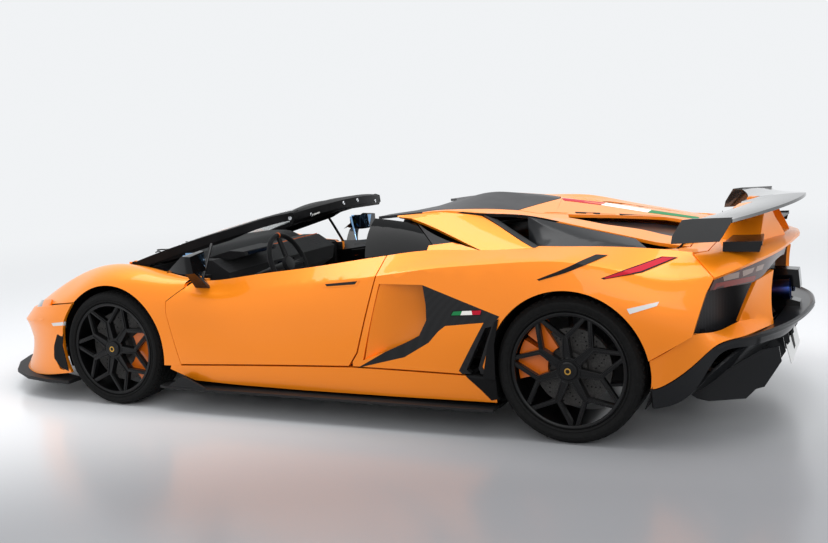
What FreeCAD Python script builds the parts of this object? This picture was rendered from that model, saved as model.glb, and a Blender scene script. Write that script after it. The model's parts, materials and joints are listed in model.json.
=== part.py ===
"""Open-top mid-engined supercar, built as an assembly of its real panels.

Frame: +X runs forward, +Y to the driver's left, +Z up, in millimetres.
The origin is on the ground under the middle of the car's length.
"""

import FreeCAD, Part
import math
import os
from FreeCAD import Placement, Rotation, Vector

doc = FreeCAD.newDocument("roadster")

# Driving dimensions, in millimetres unless the name says degrees
SIZES = [
    ("wheelbase", 2700.0),
    ("front_overhang", 1212.0),
    ("rear_overhang", 1024.0),
    ("body_width", 2098.0),
    ("body_height", 1136.0),
    ("front_track", 1720.0),
    ("rear_track", 1690.0),
    ("front_tyre_radius", 330.5),
    ("front_tyre_width", 255.0),
    ("front_rim_radius", 267.0),
    ("rear_tyre_radius", 355.5),
    ("rear_tyre_width", 345.0),
    ("rear_rim_radius", 281.0),
    ("tyre_shoulder", 26.0),
    ("rim_barrel_wall", 9.0),
    ("rim_hub_radius", 62.0),
    ("spoke_depth", 34.0),
    ("front_disc_radius", 200.0),
    ("rear_disc_radius", 190.0),
    ("disc_thickness", 38.0),
    ("caliper_width", 96.0),
    ("arch_clearance", 38.0),
    ("skin_thickness", 22.0),
    ("panel_gap", 6.0),
    ("liner_wall", 6.0),
    ("glass_thickness", 6.0),
    ("floor_thickness", 30.0),
    ("floor_height", 118.0),
    ("cabin_wall", 40.0),
    ("seat_width", 500.0),
    ("seat_spacing", 700.0),
    ("steering_wheel_radius", 178.0),
    ("steering_grip_radius", 15.0),
    ("exhaust_radius", 52.0),
    ("exhaust_wall", 3.0),
    ("engine_length", 780.0),
    ("engine_width", 720.0),
    ("engine_height", 520.0),
    ("wing_span", 1720.0),
    ("wing_plate_thickness", 14.0),
    ("blade_thickness", 16.0),
    ("door_swing_tilt_degrees", 8.0),
]

sheet = doc.addObject("Spreadsheet::Sheet", "sizes")
for line, (alias, value) in enumerate(SIZES, start=1):
    sheet.set("A%d" % line, alias)
    sheet.set("B%d" % line, str(value))
    sheet.setAlias("B%d" % line, alias)
doc.recompute()


def size(alias):
    """A driving dimension, read from the sheet."""
    return float(getattr(sheet, alias))


# The form tables below were drawn on a car of these sizes; the sheet's sizes stretch them
DRAWN_WHEELBASE = 2700.0
DRAWN_FRONT_OVERHANG = 1212.0
DRAWN_REAR_OVERHANG = 1024.0
DRAWN_WIDTH = 2098.0
DRAWN_HEIGHT = 1136.0

OVERALL_LENGTH = size("wheelbase") + size("front_overhang") + size("rear_overhang")
FRONT_AXLE_X = OVERALL_LENGTH / 2 - size("front_overhang")
REAR_AXLE_X = FRONT_AXLE_X - size("wheelbase")
HALF_DRAWN_BASE = DRAWN_WHEELBASE / 2
SKIN = size("skin_thickness")
GAP = size("panel_gap")


def along(x):
    """A drawn place along the car, where the axles lie at plus and minus half the drawn wheelbase."""
    if x > HALF_DRAWN_BASE:
        stretch = size("front_overhang") / DRAWN_FRONT_OVERHANG
        return FRONT_AXLE_X + (x - HALF_DRAWN_BASE) * stretch
    if x < -HALF_DRAWN_BASE:
        stretch = size("rear_overhang") / DRAWN_REAR_OVERHANG
        return REAR_AXLE_X + (x + HALF_DRAWN_BASE) * stretch
    middle = (FRONT_AXLE_X + REAR_AXLE_X) / 2
    return middle + x * size("wheelbase") / DRAWN_WHEELBASE


def across(y):
    return y * size("body_width") / DRAWN_WIDTH


def up(z):
    return z * size("body_height") / DRAWN_HEIGHT


def spot(x, y, z):
    """A drawn point as a point on the car."""
    return Vector(along(x), across(y), up(z))


# Shape makers

def spline_poles(points, params):
    curve = Part.BSplineCurve()
    curve.interpolate(Points=points, Parameters=params)
    mults = curve.getMultiplicities()
    knots = curve.getKnots()
    return curve.getPoles(), mults, knots, curve.Degree


def net_face(net, u_params, v_params):
    """One smooth face through every point of the net."""
    half = []
    for row in net:
        poles, u_mults, u_knots, u_degree = spline_poles(row, u_params)
        half.append(poles)
    poles_by_column = []
    for k in range(len(half[0])):
        column = [row[k] for row in half]
        poles, v_mults, v_knots, v_degree = spline_poles(column, v_params)
        poles_by_column.append(poles)
    surface = Part.BSplineSurface()
    surface.buildFromPolesMultsKnots(
        poles_by_column, u_mults, v_mults, u_knots, v_knots, False, False, u_degree, v_degree
    )
    return surface.toShape()


def closed_solid(faces):
    """Faces that meet edge to edge, sewn to one solid with its volume outside in."""
    shell = Part.Shell(faces)
    shell.sewShape()
    solid = Part.Solid(shell)
    if solid.Volume < 0:
        solid.reverse()
    return solid


def spacing(net):
    """Even travel parameters from row to row of a net, by the mean distance between rows."""
    params = [0.0]
    for low, high in zip(net[:-1], net[1:]):
        reach = sum((a - b).Length for a, b in zip(low, high)) / len(low)
        params.append(params[-1] + max(reach, 1.0))
    return params


def transposed(net):
    return [list(column) for column in zip(*net)]


def offset_net(net, depth, inward):
    """The net moved by the depth along its normals; inward is +1 or -1."""
    moved = []
    for i, row in enumerate(net):
        new_row = []
        for j, point in enumerate(row):
            du = row[min(j + 1, len(row) - 1)] - row[max(j - 1, 0)]
            dv = net[min(i + 1, len(net) - 1)][j] - net[max(i - 1, 0)][j]
            normal = du.cross(dv)
            normal.normalize()
            if abs(point.y) < 0.01:
                normal.y = 0
                normal.normalize()
            new_row.append(point + normal * (depth * inward))
        moved.append(new_row)
    return moved


def wall(net, depth, inward=1, creases=()):
    """A wall between a net and its offset; the net is smooth between the creased rows."""
    inner = offset_net(net, depth, inward)
    u_params = spacing(transposed(net))
    borders = [0] + list(creases) + [len(net) - 1]
    faces = []
    for low, high in zip(borders[:-1], borders[1:]):
        strip = net[low:high + 1]
        inner_strip = inner[low:high + 1]
        v_params = spacing(strip)
        faces.append(net_face(strip, u_params, v_params))
        faces.append(net_face(inner_strip, u_params, v_params))
        for end in (0, -1):
            outer_edge = [row[end] for row in strip]
            inner_edge = [row[end] for row in inner_strip]
            faces.append(net_face([outer_edge, inner_edge], v_params, [0.0, 1.0]))
    for end in (0, -1):
        faces.append(net_face([net[end], inner[end]], u_params, [0.0, 1.0]))
    return closed_solid(faces)


def course(keys, x):
    """The drawn y and z of a feature line at x, smooth between its key points."""
    keys = sorted(keys)
    if x <= keys[0][0]:
        return keys[0][1], keys[0][2]
    if x >= keys[-1][0]:
        return keys[-1][1], keys[-1][2]
    k = max(i for i in range(len(keys) - 1) if keys[i][0] <= x)
    left, right = keys[k], keys[k + 1]
    before = keys[max(k - 1, 0)]
    after = keys[min(k + 2, len(keys) - 1)]
    span = right[0] - left[0]
    t = (x - left[0]) / span
    found = []
    for axis in (1, 2):
        slope_left = (right[axis] - before[axis]) / (right[0] - before[0]) * span
        slope_right = (after[axis] - left[axis]) / (after[0] - left[0]) * span
        found.append(
            (2 * t ** 3 - 3 * t ** 2 + 1) * left[axis]
            + (t ** 3 - 2 * t ** 2 + t) * slope_left
            + (3 * t ** 2 - 2 * t ** 3) * right[axis]
            + (t ** 3 - t ** 2) * slope_right
        )
    return found[0], found[1]


def lines_net(lines, stations):
    """A net of points with one row per feature line and one column per station."""
    return [[spot(x, *course(keys, x)) for x in stations] for keys in lines]


def shifted(net, shift):
    return [[point + shift for point in row] for row in net]


def polygon_face(points):
    return Part.Face(Part.makePolygon(points + [points[0]]))


def inset(face, distance):
    return face.makeOffset2D(-distance, join=2) if distance else face


def side_prism(outline, y_low, y_high, gap=0.0):
    """A prism across the car from an outline of drawn (x, z) points, less half a panel gap all round."""
    face = polygon_face([Vector(along(x), 0, up(z)) for x, z in outline])
    face = inset(face, gap / 2)
    face.translate(Vector(0, y_low, 0))
    return face.extrude(Vector(0, y_high - y_low, 0))


def top_prism(outline, z_low, z_high, gap=0.0):
    """A prism upward from an outline of drawn (x, y) points, less half a panel gap all round."""
    face = polygon_face([Vector(along(x), across(y), 0) for x, y in outline])
    face = inset(face, gap / 2)
    face.translate(Vector(0, 0, z_low))
    return face.extrude(Vector(0, 0, z_high - z_low))


def end_prism(outline, x_low, x_high, gap=0.0):
    """A prism along the car from an outline of drawn (y, z) points, less half a panel gap all round."""
    face = polygon_face([Vector(0, across(y), up(z)) for y, z in outline])
    face = inset(face, gap / 2)
    face.translate(Vector(along(x_low), 0, 0))
    return face.extrude(Vector(along(x_high) - along(x_low), 0, 0))


def mirrored(shape):
    return shape.mirror(Vector(0, 0, 0), Vector(0, 1, 0))


def both_sides(shape):
    return Part.makeCompound([shape, mirrored(shape)])


def whole(shape):
    """A half that ends on the middle plane, joined to its mirror image."""
    return shape.fuse(mirrored(shape)).removeSplitter()


def loft(sections, ruled=False):
    """A solid through closed loops of points."""
    wires = [Part.makePolygon(loop + [loop[0]]) for loop in sections]
    return Part.makeLoft(wires, True, ruled)


def tube(rings):
    """A solid through loops of four points, smooth along and flat or twisted between the corners."""
    params = spacing(rings)
    faces = []
    for k in range(4):
        n = (k + 1) % 4
        faces.append(net_face([[r[k] for r in rings], [r[n] for r in rings]], params, [0.0, 1.0]))
    for ring in (rings[0], rings[-1]):
        faces.append(net_face([[ring[0], ring[1]], [ring[3], ring[2]]], [0.0, 1.0], [0.0, 1.0]))
    return closed_solid(faces)


def bar(start, end, radius):
    axis = end - start
    return Part.makeCylinder(radius, axis.Length, start, axis)


nodes = {}


def piece(name, shape):
    """A named sub-part whose shape is worked out from the sheet's sizes."""
    feature = doc.addObject("Part::Feature", name)
    feature.Label = name
    feature.Shape = shape
    nodes[name] = feature
    return feature


# Feature lines of the left side, as drawn (x, y, z) key points from tail to nose

LINE_BOTTOM = [
    (-2150, 880, 290), (-1950, 945, 288), (-1750, 1000, 285), (-1350, 1010, 200), (-950, 985, 172),
    (-450, 972, 164), (125, 962, 160), (500, 962, 164), (800, 970, 172), (1350, 985, 178), (1700, 970, 176),
]
LINE_LOW = [
    (-2150, 895, 400), (-1950, 965, 395), (-1750, 1020, 390), (-1350, 1042, 360), (-950, 1012, 320),
    (-450, 985, 300), (125, 974, 290), (500, 975, 290), (800, 985, 300), (1350, 1000, 310), (1700, 982, 300),
]
LINE_WIDE = [
    (-2150, 900, 520), (-1950, 975, 515), (-1750, 1032, 515), (-1350, 1049, 520), (-950, 1026, 490),
    (-450, 984, 470), (125, 966, 460), (500, 968, 455), (800, 984, 460), (1100, 1002, 470), (1350, 1005, 480),
    (1550, 998, 475), (1700, 980, 460), (1950, 900, 430), (2200, 745, 405),
]
LINE_HIGH = [
    (-2150, 880, 650), (-1950, 958, 650), (-1750, 1028, 665), (-1350, 1045, 690), (-950, 1014, 680),
    (-450, 970, 650), (125, 950, 610), (500, 948, 590), (800, 972, 590), (1100, 996, 600), (1350, 1000, 612),
    (1550, 985, 600), (1700, 958, 570), (1950, 865, 515), (2200, 700, 460),
]
LINE_SHOULDER = [
    (-2150, 800, 800), (-2003, 888, 792), (-1923, 922, 782), (-1688, 985, 816), (-1411, 1010, 869), (-1169, 1000, 871),
    (-917, 985, 851), (-654, 965, 825), (-348, 943, 780), (0, 922, 735), (350, 912, 700), (700, 915, 668),
    (950, 950, 690), (1200, 962, 720), (1350, 958, 730), (1500, 935, 715), (1700, 880, 655),
    (1950, 790, 580), (2200, 640, 500),
]
LINE_BELT = [
    (-2150, 815, 868), (-1904, 800, 895), (-1675, 790, 912), (-1411, 800, 920), (-1144, 812, 912),
    (-895, 808, 898), (-571, 790, 892), (-289, 818, 858), (89, 856, 804), (400, 874, 766), (700, 882, 726),
    (950, 880, 738), (1200, 850, 782), (1350, 820, 794), (1540, 780, 777), (1760, 730, 714),
    (1950, 680, 634), (2200, 540, 532),
]
SIDE_LINES = [LINE_BOTTOM, LINE_LOW, LINE_WIDE, LINE_HIGH, LINE_SHOULDER, LINE_BELT]
SHOULDER_ROW = 4

REAR_STATIONS = [-2150, -2000, -1850, -1700, -1550, -1350, -1150, -950, -800, -650, -500, -350, -200]
DOOR_STATIONS = [-500, -350, -200, -50, 150, 350, 500, 650, 800, 950, 1100]
FENDER_STATIONS = [600, 750, 900, 1050, 1200, 1350, 1500, 1700, 1850, 2000, 2200]

DOOR_OUTLINE = [
    (818, 760), (822, 715), (950, 619), (950, 560), (876, 265), (-176, 309), (-226, 384), (-338, 777),
    (-352, 960), (600, 960),
]


def side_wall(stations, depth, rows=None):
    lines = SIDE_LINES if rows is None else SIDE_LINES[rows[0]:rows[1]]
    crease = SHOULDER_ROW - (0 if rows is None else rows[0])
    creases = (crease,) if 0 < crease < len(lines) - 1 else ()
    return wall(lines_net(lines, stations), depth, 1, creases)


def arch_cut(axle_x, radius, y_low=500.0, y_high=1300.0):
    return Part.makeCylinder(radius, y_high - y_low, Vector(axle_x, y_low, radius_height(axle_x)), Vector(0, 1, 0))


def radius_height(axle_x):
    return size("front_tyre_radius") if axle_x > 0 else size("rear_tyre_radius")


FRONT_ARCH = size("front_tyre_radius") + size("arch_clearance")
REAR_ARCH = size("rear_tyre_radius") + size("arch_clearance") * 0.85
FAR = 3000.0
PANEL_IN = 1

# Front lines across the top, from the fender's crest to the middle

LINE_VALLEY = [
    (700, 780, 716), (1100, 735, 755), (1371, 700, 778), (1540, 665, 760), (1760, 620, 698),
    (1950, 570, 622), (2200, 430, 533), (2340, 330, 488),
]
LINE_BONNET_OUTER = [
    (700, 560, 730), (1100, 560, 762), (1371, 520, 778), (1540, 480, 757), (1760, 450, 699),
    (1950, 420, 632), (2200, 320, 545), (2340, 250, 493),
]
LINE_BONNET_INNER = [
    (700, 280, 740), (1100, 280, 770), (1371, 260, 785), (1540, 250, 770), (1760, 230, 714),
    (1950, 220, 652), (2200, 170, 560), (2340, 130, 500),
]
LINE_BONNET_MIDDLE = [
    (700, 0, 745), (1100, 0, 775), (1371, 0, 790), (1540, 0, 776), (1760, 0, 722),
    (1950, 0, 661), (2200, 0, 567), (2340, 0, 504),
]
FRONT_STATIONS = [650, 750, 900, 1050, 1200, 1350, 1500, 1700, 1850, 2000, 2150, 2260, 2340, 2440]
for keys, ends in (
    (LINE_WIDE, ((2340, 610, 385), (2440, 500, 372))), (LINE_HIGH, ((2340, 560, 430), (2440, 430, 410))),
    (LINE_SHOULDER, ((2340, 500, 464), (2440, 360, 444))), (LINE_BELT, ((2340, 425, 482), (2440, 280, 464))),
    (LINE_VALLEY, ((2440, 200, 470),)), (LINE_BONNET_OUTER, ((2440, 140, 475),)),
    (LINE_BONNET_INNER, ((2440, 70, 479),)), (LINE_BONNET_MIDDLE, ((2440, 0, 481),)),
):
    keys.extend(ends)
FRONT_LINES = [
    LINE_BOTTOM, LINE_LOW, LINE_WIDE, LINE_HIGH, LINE_SHOULDER, LINE_BELT,
    LINE_VALLEY, LINE_BONNET_OUTER, LINE_BONNET_INNER, LINE_BONNET_MIDDLE,
]

# Rear lines across the top, from the hip's inner edge to the middle

LINE_VENT = [
    (-2200, 690, 872), (-1950, 700, 893), (-1700, 730, 905), (-1360, 730, 930), (-1000, 700, 965),
    (-680, 690, 965), (-400, 690, 975), (-160, 690, 950),
]
LINE_RAIL = [
    (-2200, 560, 880), (-1950, 600, 899), (-1700, 655, 922), (-1600, 642, 941), (-1320, 615, 995),
    (-1046, 600, 1048), (-790, 565, 1057), (-562, 555, 1070), (-400, 545, 1056), (-160, 530, 1038),
]
LINE_INNER = [
    (-2200, 440, 884), (-1950, 470, 906), (-1745, 455, 926), (-1600, 450, 958), (-1410, 455, 986),
    (-1200, 490, 1018), (-966, 510, 1042), (-680, 500, 1070), (-500, 490, 1072), (-300, 480, 1056), (-160, 470, 1038),
]
LINE_DECK = [
    (-2200, 200, 888), (-1950, 140, 926), (-1800, 112, 962), (-1650, 150, 988), (-1421, 250, 1010),
    (-1231, 340, 1024), (-1041, 428, 1041), (-926, 400, 1055), (-760, 380, 1077), (-600, 350, 1080),
    (-430, 330, 1064), (-300, 330, 1050), (-160, 330, 1036),
]
LINE_SPINE = [
    (-2200, 0, 893), (-1950, 0, 932), (-1789, 0, 967), (-1407, 0, 1029), (-1040, 0, 1080),
    (-860, 0, 1106), (-676, 0, 1122), (-560, 0, 1108), (-440, 0, 1074), (-303, 0, 1044), (-160, 0, 1036),
]
TOP_LINES = [LINE_BELT, LINE_VENT, LINE_RAIL, LINE_INNER, LINE_DECK, LINE_SPINE]
TOP_STATIONS = [-2000, -1900, -1800, -1700, -1600, -1450, -1320, -1180, -1046, -920, -790, -676, -560, -440, -300,
                -160]


def top_wall(stations, depth, creases=(2, 3, 4)):
    return wall(lines_net(TOP_LINES, stations), depth, 1, creases)


front_arch_cut = arch_cut(FRONT_AXLE_X, FRONT_ARCH)
rear_arch_cut = arch_cut(REAR_AXLE_X, REAR_ARCH)
front_form = wall(lines_net(FRONT_LINES, FRONT_STATIONS), SKIN, PANEL_IN)

# Front fenders
BUMPER_LINE = [(1300, 600), (1590, 594), (1800, 567), (2000, 535), (2170, 505), (2330, 487), (2440, 479), (2520, 476)]
above_bumper = side_prism(
    [(600, 100), (1300, 100)] + BUMPER_LINE + [(2520, 1300), (600, 1300)], -FAR, FAR, GAP
)
door_cut = side_prism(DOOR_OUTLINE, 400, 1400)
behind_door = side_prism([(640, 0), (640, 1300), (818, 1300)] + DOOR_OUTLINE[1:5] + [(876, 0)], 400, 1400)
BONNET_SIDE = [(1448, 640), (1700, 596), (2000, 516), (2200, 420), (2340, 310), (2520, 130)]
CABIN_SIDE = [(640, 872), (820, 862), (1000, 812), (1371, 716), (1448, 640)]
fender_plan = CABIN_SIDE + BONNET_SIDE[1:] + [(2520, 1300), (640, 1300)]
fender = front_form.common(top_prism(fender_plan, 0, 1300, GAP))
fender = fender.common(above_bumper).cut(front_arch_cut).cut(behind_door)
fender = fender.cut(side_prism([(600, 0), (600, 256), (1100, 256), (1100, 0)], 400, 1400))

# Bonnet
bonnet_half_plan = [(1448, 640)] + BONNET_SIDE[1:] + [(2520, 0), (1640, 0), (1600, 350), (1500, 560)]
bonnet_half = front_form.common(top_prism(bonnet_half_plan, 0, 1300, 0)).common(above_bumper)
bonnet_trim = top_prism(
    BONNET_SIDE + [(x, -y) for x, y in reversed(BONNET_SIDE)] + [(1500, -560), (1600, -350), (1640, 0),
    (1600, 350), (1500, 560)], 0, 1300, GAP
)
bonnet = whole(bonnet_half).common(bonnet_trim)
LID_PIN = 5.0
HINGE_GAP = 0.4


def lid_hinge(x, z, y_pin, y_ear, strap_x, ear_x):
    """Lug, bore, pin and ear of one lid hinge, left side; the pin is carried by the ear."""
    low, high = min(x, strap_x), max(x, strap_x)
    centre = spot(x, 0, z)
    lug = Part.makeCylinder(LID_PIN + 5, 16, Vector(centre.x, y_pin, centre.z), Vector(0, 1, 0))
    lug = lug.fuse(Part.makeBox(along(high) - along(low), 16, 22, Vector(along(low), y_pin, centre.z - 20)))
    bore = Part.makeCylinder(LID_PIN + HINGE_GAP, 40, Vector(centre.x, y_pin - 10, centre.z), Vector(0, 1, 0))
    pin = Part.makeCylinder(LID_PIN, y_ear + 14 - y_pin + 2, Vector(centre.x, y_pin - 2, centre.z), Vector(0, 1, 0))
    low, high = min(x, ear_x), max(x, ear_x)
    ear = Part.makeBox(along(high) - along(low) + 7, 14, 26, Vector(along(low) - 3.5, y_ear, centre.z - 20))
    return lug, bore, pin.fuse(ear)


lug, bore, bonnet_ear = lid_hinge(1450, 775, 575, 597, 1492, 1432)
bonnet = bonnet.fuse(lug).fuse(mirrored(lug)).cut(bore).cut(mirrored(bore)).removeSplitter()
piece("bonnet", bonnet)

# Front bumper, drawn from the wheel round the corner to the nose
BUMPER_NET = [
    [(1560, 975, 190), (1800, 950, 150), (2000, 892, 126), (2225, 750, 120), (2410, 470, 120), (2500, 220, 120),
     (2530, 0, 120)],
    [(1560, 990, 350), (1800, 952, 345), (2000, 868, 330), (2192, 715, 312), (2355, 440, 303), (2450, 200, 300),
     (2482, 0, 300)],
    [(1560, 998, 500), (1800, 962, 478), (2000, 885, 452), (2210, 740, 432), (2385, 460, 422), (2500, 210, 418),
     (2542, 0, 418)],
    [(1560, 989, 596), (1800, 935, 567), (2000, 842, 535), (2170, 700, 505), (2306, 430, 492), (2405, 200, 484),
     (2448, 0, 482)],
]
bumper_half = wall([[spot(*p) for p in row] for row in BUMPER_NET], SKIN, 1, (2,))
below_fender = side_prism([(1300, 0)] + BUMPER_LINE + [(2700, 474), (2700, 0)], -FAR, FAR, GAP)
bumper_half = bumper_half.common(below_fender).cut(front_arch_cut)
SIDE_INTAKE = [(1775, 380), (1826, 262), (1778, 185), (1738, 180), (1742, 352)]
MAIN_INTAKE = [(330, 172), (300, 330), (520, 380), (700, 385), (790, 330), (740, 175)]
bumper_half = bumper_half.cut(side_prism(SIDE_INTAKE, 800, 1200))
bumper_half = bumper_half.cut(end_prism(MAIN_INTAKE, 2000, 2700))
bumper_half = bumper_half.cut(end_prism([(-1, 165), (-1, 240), (230, 240), (250, 165)], 2200, 2700))
piece("front_bumper", whole(bumper_half))

# Front splitter
SPLITTER_EDGE = [
    (1690, 990), (1850, 985), (2050, 938), (2250, 815), (2395, 640), (2475, 470), (2535, 260), (2562, 0),
]
splitter_half = top_prism(SPLITTER_EDGE + [(2300, 0), (2220, 480), (1960, 780), (1690, 880)], 104, 124)
splitter_half = splitter_half.cut(bumper_half)
piece("front_splitter", whole(splitter_half))

# Grille plates behind the intakes
grille_rows = [
    [spot(2410, 0, 140), spot(2350, 250, 140), spot(2210, 520, 140), spot(2060, 760, 145), spot(1900, 900, 150)],
    [spot(2410, 0, 400), spot(2350, 250, 400), spot(2210, 520, 405), spot(2060, 760, 410), spot(1900, 905, 410)],
]
tow_room = Part.makeCylinder(21, 400, Vector(along(2200), across(170), up(205)), Vector(1, 0, 0))
grille = wall(grille_rows, 10, 1).cut(bumper_half)
piece("front_grilles", whole(grille).cut(tow_room))

# Windscreen: from the cowl's curve to the header
GLASS = size("glass_thickness")
SCREEN_NET = [
    [(1368, 668, 784), (1470, 450, 781), (1530, 220, 779), (1548, 0, 779)],
    [(1045, 620, 892), (1130, 420, 889), (1175, 205, 886), (1188, 0, 886)],
    [(720, 570, 982), (785, 385, 986), (812, 190, 984), (820, 0, 984)],
    [(392, 520, 1054), (428, 350, 1066), (446, 175, 1072), (450, 0, 1074)],
]
screen_half = wall([[spot(*p) for p in row] for row in SCREEN_NET], GLASS, -1)
piece("windscreen", whole(screen_half))

# Windscreen frame: pillars and header
PILLAR = [
    [(1400, 738, 776), (1385, 672, 778), (1345, 672, 752), (1350, 735, 748)],
    [(922, 672, 930), (925, 608, 936), (895, 604, 905), (885, 660, 890)],
    [(640, 616, 1004), (645, 562, 1012), (610, 558, 980), (600, 606, 968)],
    [(394, 566, 1060), (402, 512, 1070), (360, 506, 1040), (355, 556, 1022)],
    [(345, 562, 1066), (345, 502, 1080), (336, 500, 1040), (336, 554, 1022)],
]
pillar = tube([[spot(*p) for p in ring] for ring in PILLAR])
HEADER = [
    [(446, 0, 1084), (340, 0, 1098), (268, 0, 1096), (268, 0, 1050), (330, 0, 1024), (430, 0, 1050)],
    [(425, 330, 1080), (335, 330, 1092), (292, 330, 1084), (292, 330, 1040), (330, 330, 1014), (410, 330, 1044)],
    [(392, 560, 1058), (362, 560, 1068), (344, 560, 1062), (344, 560, 1022), (352, 560, 1004), (376, 560, 1022)],
]
header = loft([[spot(*p) for p in ring] for ring in HEADER])
piece("windscreen_frame", whole(pillar.fuse(header)))

# Cowl between screen and bonnet
cowl_half = front_form.common(
    top_prism([(1440, 632), (1492, 552), (1592, 346), (1632, 0), (1500, 0), (1470, 300), (1380, 560),
               (1340, 680)], 0, 1300, 0)
)
lug_room = Part.makeBox(90, 26, 80, Vector(along(1432), 570, up(730)))
cowl_half = cowl_half.cut(lug_room)
cowl = whole(cowl_half).fuse(bonnet_ear).fuse(mirrored(bonnet_ear))
piece("cowl", cowl)

# Doors, as thick as the real ones
DOOR_DEPTH = 92.0
door_body = side_wall(DOOR_STATIONS, DOOR_DEPTH)
door_solid = door_body.common(side_prism(DOOR_OUTLINE, 400, 1400, GAP))
door_hinge = spot(832, 860, 712)
tilt = math.radians(size("door_swing_tilt_degrees"))
hinge_axis = Vector(0, math.cos(tilt), -math.sin(tilt))
HINGE_PIN = 7.0


def on_hinge(y, radius, length):
    """A cylinder about the door's hinge axis, from this y outward."""
    start = door_hinge + hinge_axis * ((y - door_hinge.y) / hinge_axis.y)
    return Part.makeCylinder(radius, length, start, hinge_axis)


door_lug = on_hinge(800, 16, 30).fuse(Part.makeBox(60, 30, 52, Vector(door_hinge.x - 64, 800, door_hinge.z - 40)))
door_solid = door_solid.fuse(door_lug).cut(on_hinge(790, HINGE_PIN + HINGE_GAP, 60)).removeSplitter()
hinge_pin = on_hinge(768, HINGE_PIN, 68)
fender = fender.cut(on_hinge(760, 25, 220))
piece("front_fenders", both_sides(fender))
piece("door_left", door_solid)
piece("door_right", mirrored(door_solid))

# Mirrors on slim stalks
MIRROR = [
    [(660, 990, 905), (650, 1000, 800), (655, 1110, 800), (662, 1120, 890)],
    [(760, 985, 900), (765, 992, 792), (770, 1118, 798), (760, 1124, 888)],
    [(865, 1010, 865), (868, 1012, 815), (868, 1090, 820), (865, 1092, 858)],
]
mirror_head = tube([[spot(*p) for p in ring] for ring in MIRROR])
MIRROR_STALK = [
    [(790, 893, 690), (700, 893, 690), (700, 913, 688), (790, 913, 688)],
    [(800, 960, 770), (730, 962, 772), (730, 975, 768), (800, 975, 766)],
    [(800, 1010, 812), (740, 1012, 815), (740, 1028, 808), (800, 1028, 806)],
]
mirror_stalk = tube([[spot(*p) for p in ring] for ring in MIRROR_STALK])
mirror = mirror_head.fuse(mirror_stalk).cut(door_solid)
piece("mirror_left", mirror)
piece("mirror_right", mirrored(mirror))

# Sill panels under the doors
sill = side_wall([-1000, -800, -500, -200, 100, 400, 700, 900, 1050], 60.0, (0, 3))
sill_outline = [
    (-985, 172), (-945, 172), (-450, 164), (125, 160), (500, 164), (796, 176), (950, 236), (940, 258),
    (870, 259), (-184, 303), (-985, 303),
]
sill = sill.common(side_prism(sill_outline, 400, 1400))
piece("sill_panels", both_sides(sill))

# Side skirt blades
skirt = top_prism([(1015, 960), (1010, 1012), (960, 1026), (-900, 1030), (-975, 1022), (-975, 930), (1000, 900)], 0, 14)
skirt.translate(Vector(0, 0, up(132)))
fin = side_prism([(960, 132), (930, 160), (843, 205), (820, 200), (700, 150), (700, 132)], 1008, 1022)
piece("side_skirts", both_sides(skirt.fuse(fin)))

# Rear quarters: hips over the rear wheels
BLADE_OUTLINE = [
    (-608, 744), (-1027, 610), (-996, 573), (-940, 575), (-735, 548), (-696, 519), (-640, 459), (-499, 376),
    (-226, 304), (-388, 396), (-503, 448), (-587, 492), (-629, 570), (-627, 645),
]
QUARTER_DEPTH = 30.0
quarter = side_wall(REAR_STATIONS, QUARTER_DEPTH)
quarter_outline = [
    (-353, 1000), (-339, 777), (-229, 384), (-179, 309), (-985, 309), (-1300, 100), (-1700, 100),
    (-1700, 405), (-1734, 425), (-1922, 538), (-1974, 725), (-2004, 792), (-1897, 888), (-1897, 1000),
]
quarter = quarter.common(side_prism(quarter_outline, 400, 1400, GAP)).cut(rear_arch_cut)
SCALLOP = [(-360, 740), (-608, 744), (-627, 645), (-629, 570), (-587, 492), (-503, 448), (-388, 396), (-260, 345)]
quarter = quarter.cut(side_prism(SCALLOP, 700, 1400))
quarter = quarter.cut(side_prism(BLADE_OUTLINE, 700, 1400))
LOW_INTAKE = [(-944, 577), (-797, 326), (-952, 189), (-987, 228), (-927, 356), (-1016, 595)]
quarter = quarter.cut(side_prism(LOW_INTAKE, 700, 1400))
scallop_net = [
    [(-262, 962, 340), (-400, 905, 372), (-560, 850, 420), (-700, 800, 470)],
    [(-290, 962, 470), (-420, 890, 490), (-560, 835, 520), (-700, 790, 550)],
    [(-325, 950, 620), (-440, 885, 635), (-570, 830, 650), (-700, 785, 665)],
    [(-362, 930, 752), (-460, 890, 760), (-580, 850, 765), (-700, 800, 770)],
]
scallop = wall([[spot(*p) for p in row] for row in scallop_net], 14, 1)

# Black side blades at the intakes
blade_body = wall(
    lines_net([LINE_LOW, LINE_WIDE, LINE_HIGH, LINE_SHOULDER], REAR_STATIONS), 40, 1
)
blade = blade_body.common(side_prism(BLADE_OUTLINE, 700, 1400, 1.0))
low_frame = blade_body.common(side_prism(LOW_INTAKE, 700, 1400, 1.0))
low_frame = low_frame.cut(side_prism([(-950, 550), (-840, 335), (-935, 240), (-905, 350), (-985, 560)], 700, 1400))
piece("side_blades", both_sides(Part.makeCompound([blade, low_frame])))

# Deck: roof panel, engine cover, vents, rails and tail deck, all cut from one form
deck_form = top_wall(TOP_STATIONS, 16)


def deck_part(plan, gap=GAP):
    return deck_form.common(top_prism(plan, 600, 1300, gap))


def middle_deck_part(half_plan, gap=GAP):
    """A deck panel that crosses the middle, from the left half of its plan, rear to front."""
    plan = half_plan + [(x, -y) for x, y in reversed(half_plan)]
    return whole(deck_form).common(top_prism(plan, 600, 1300, gap))


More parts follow.
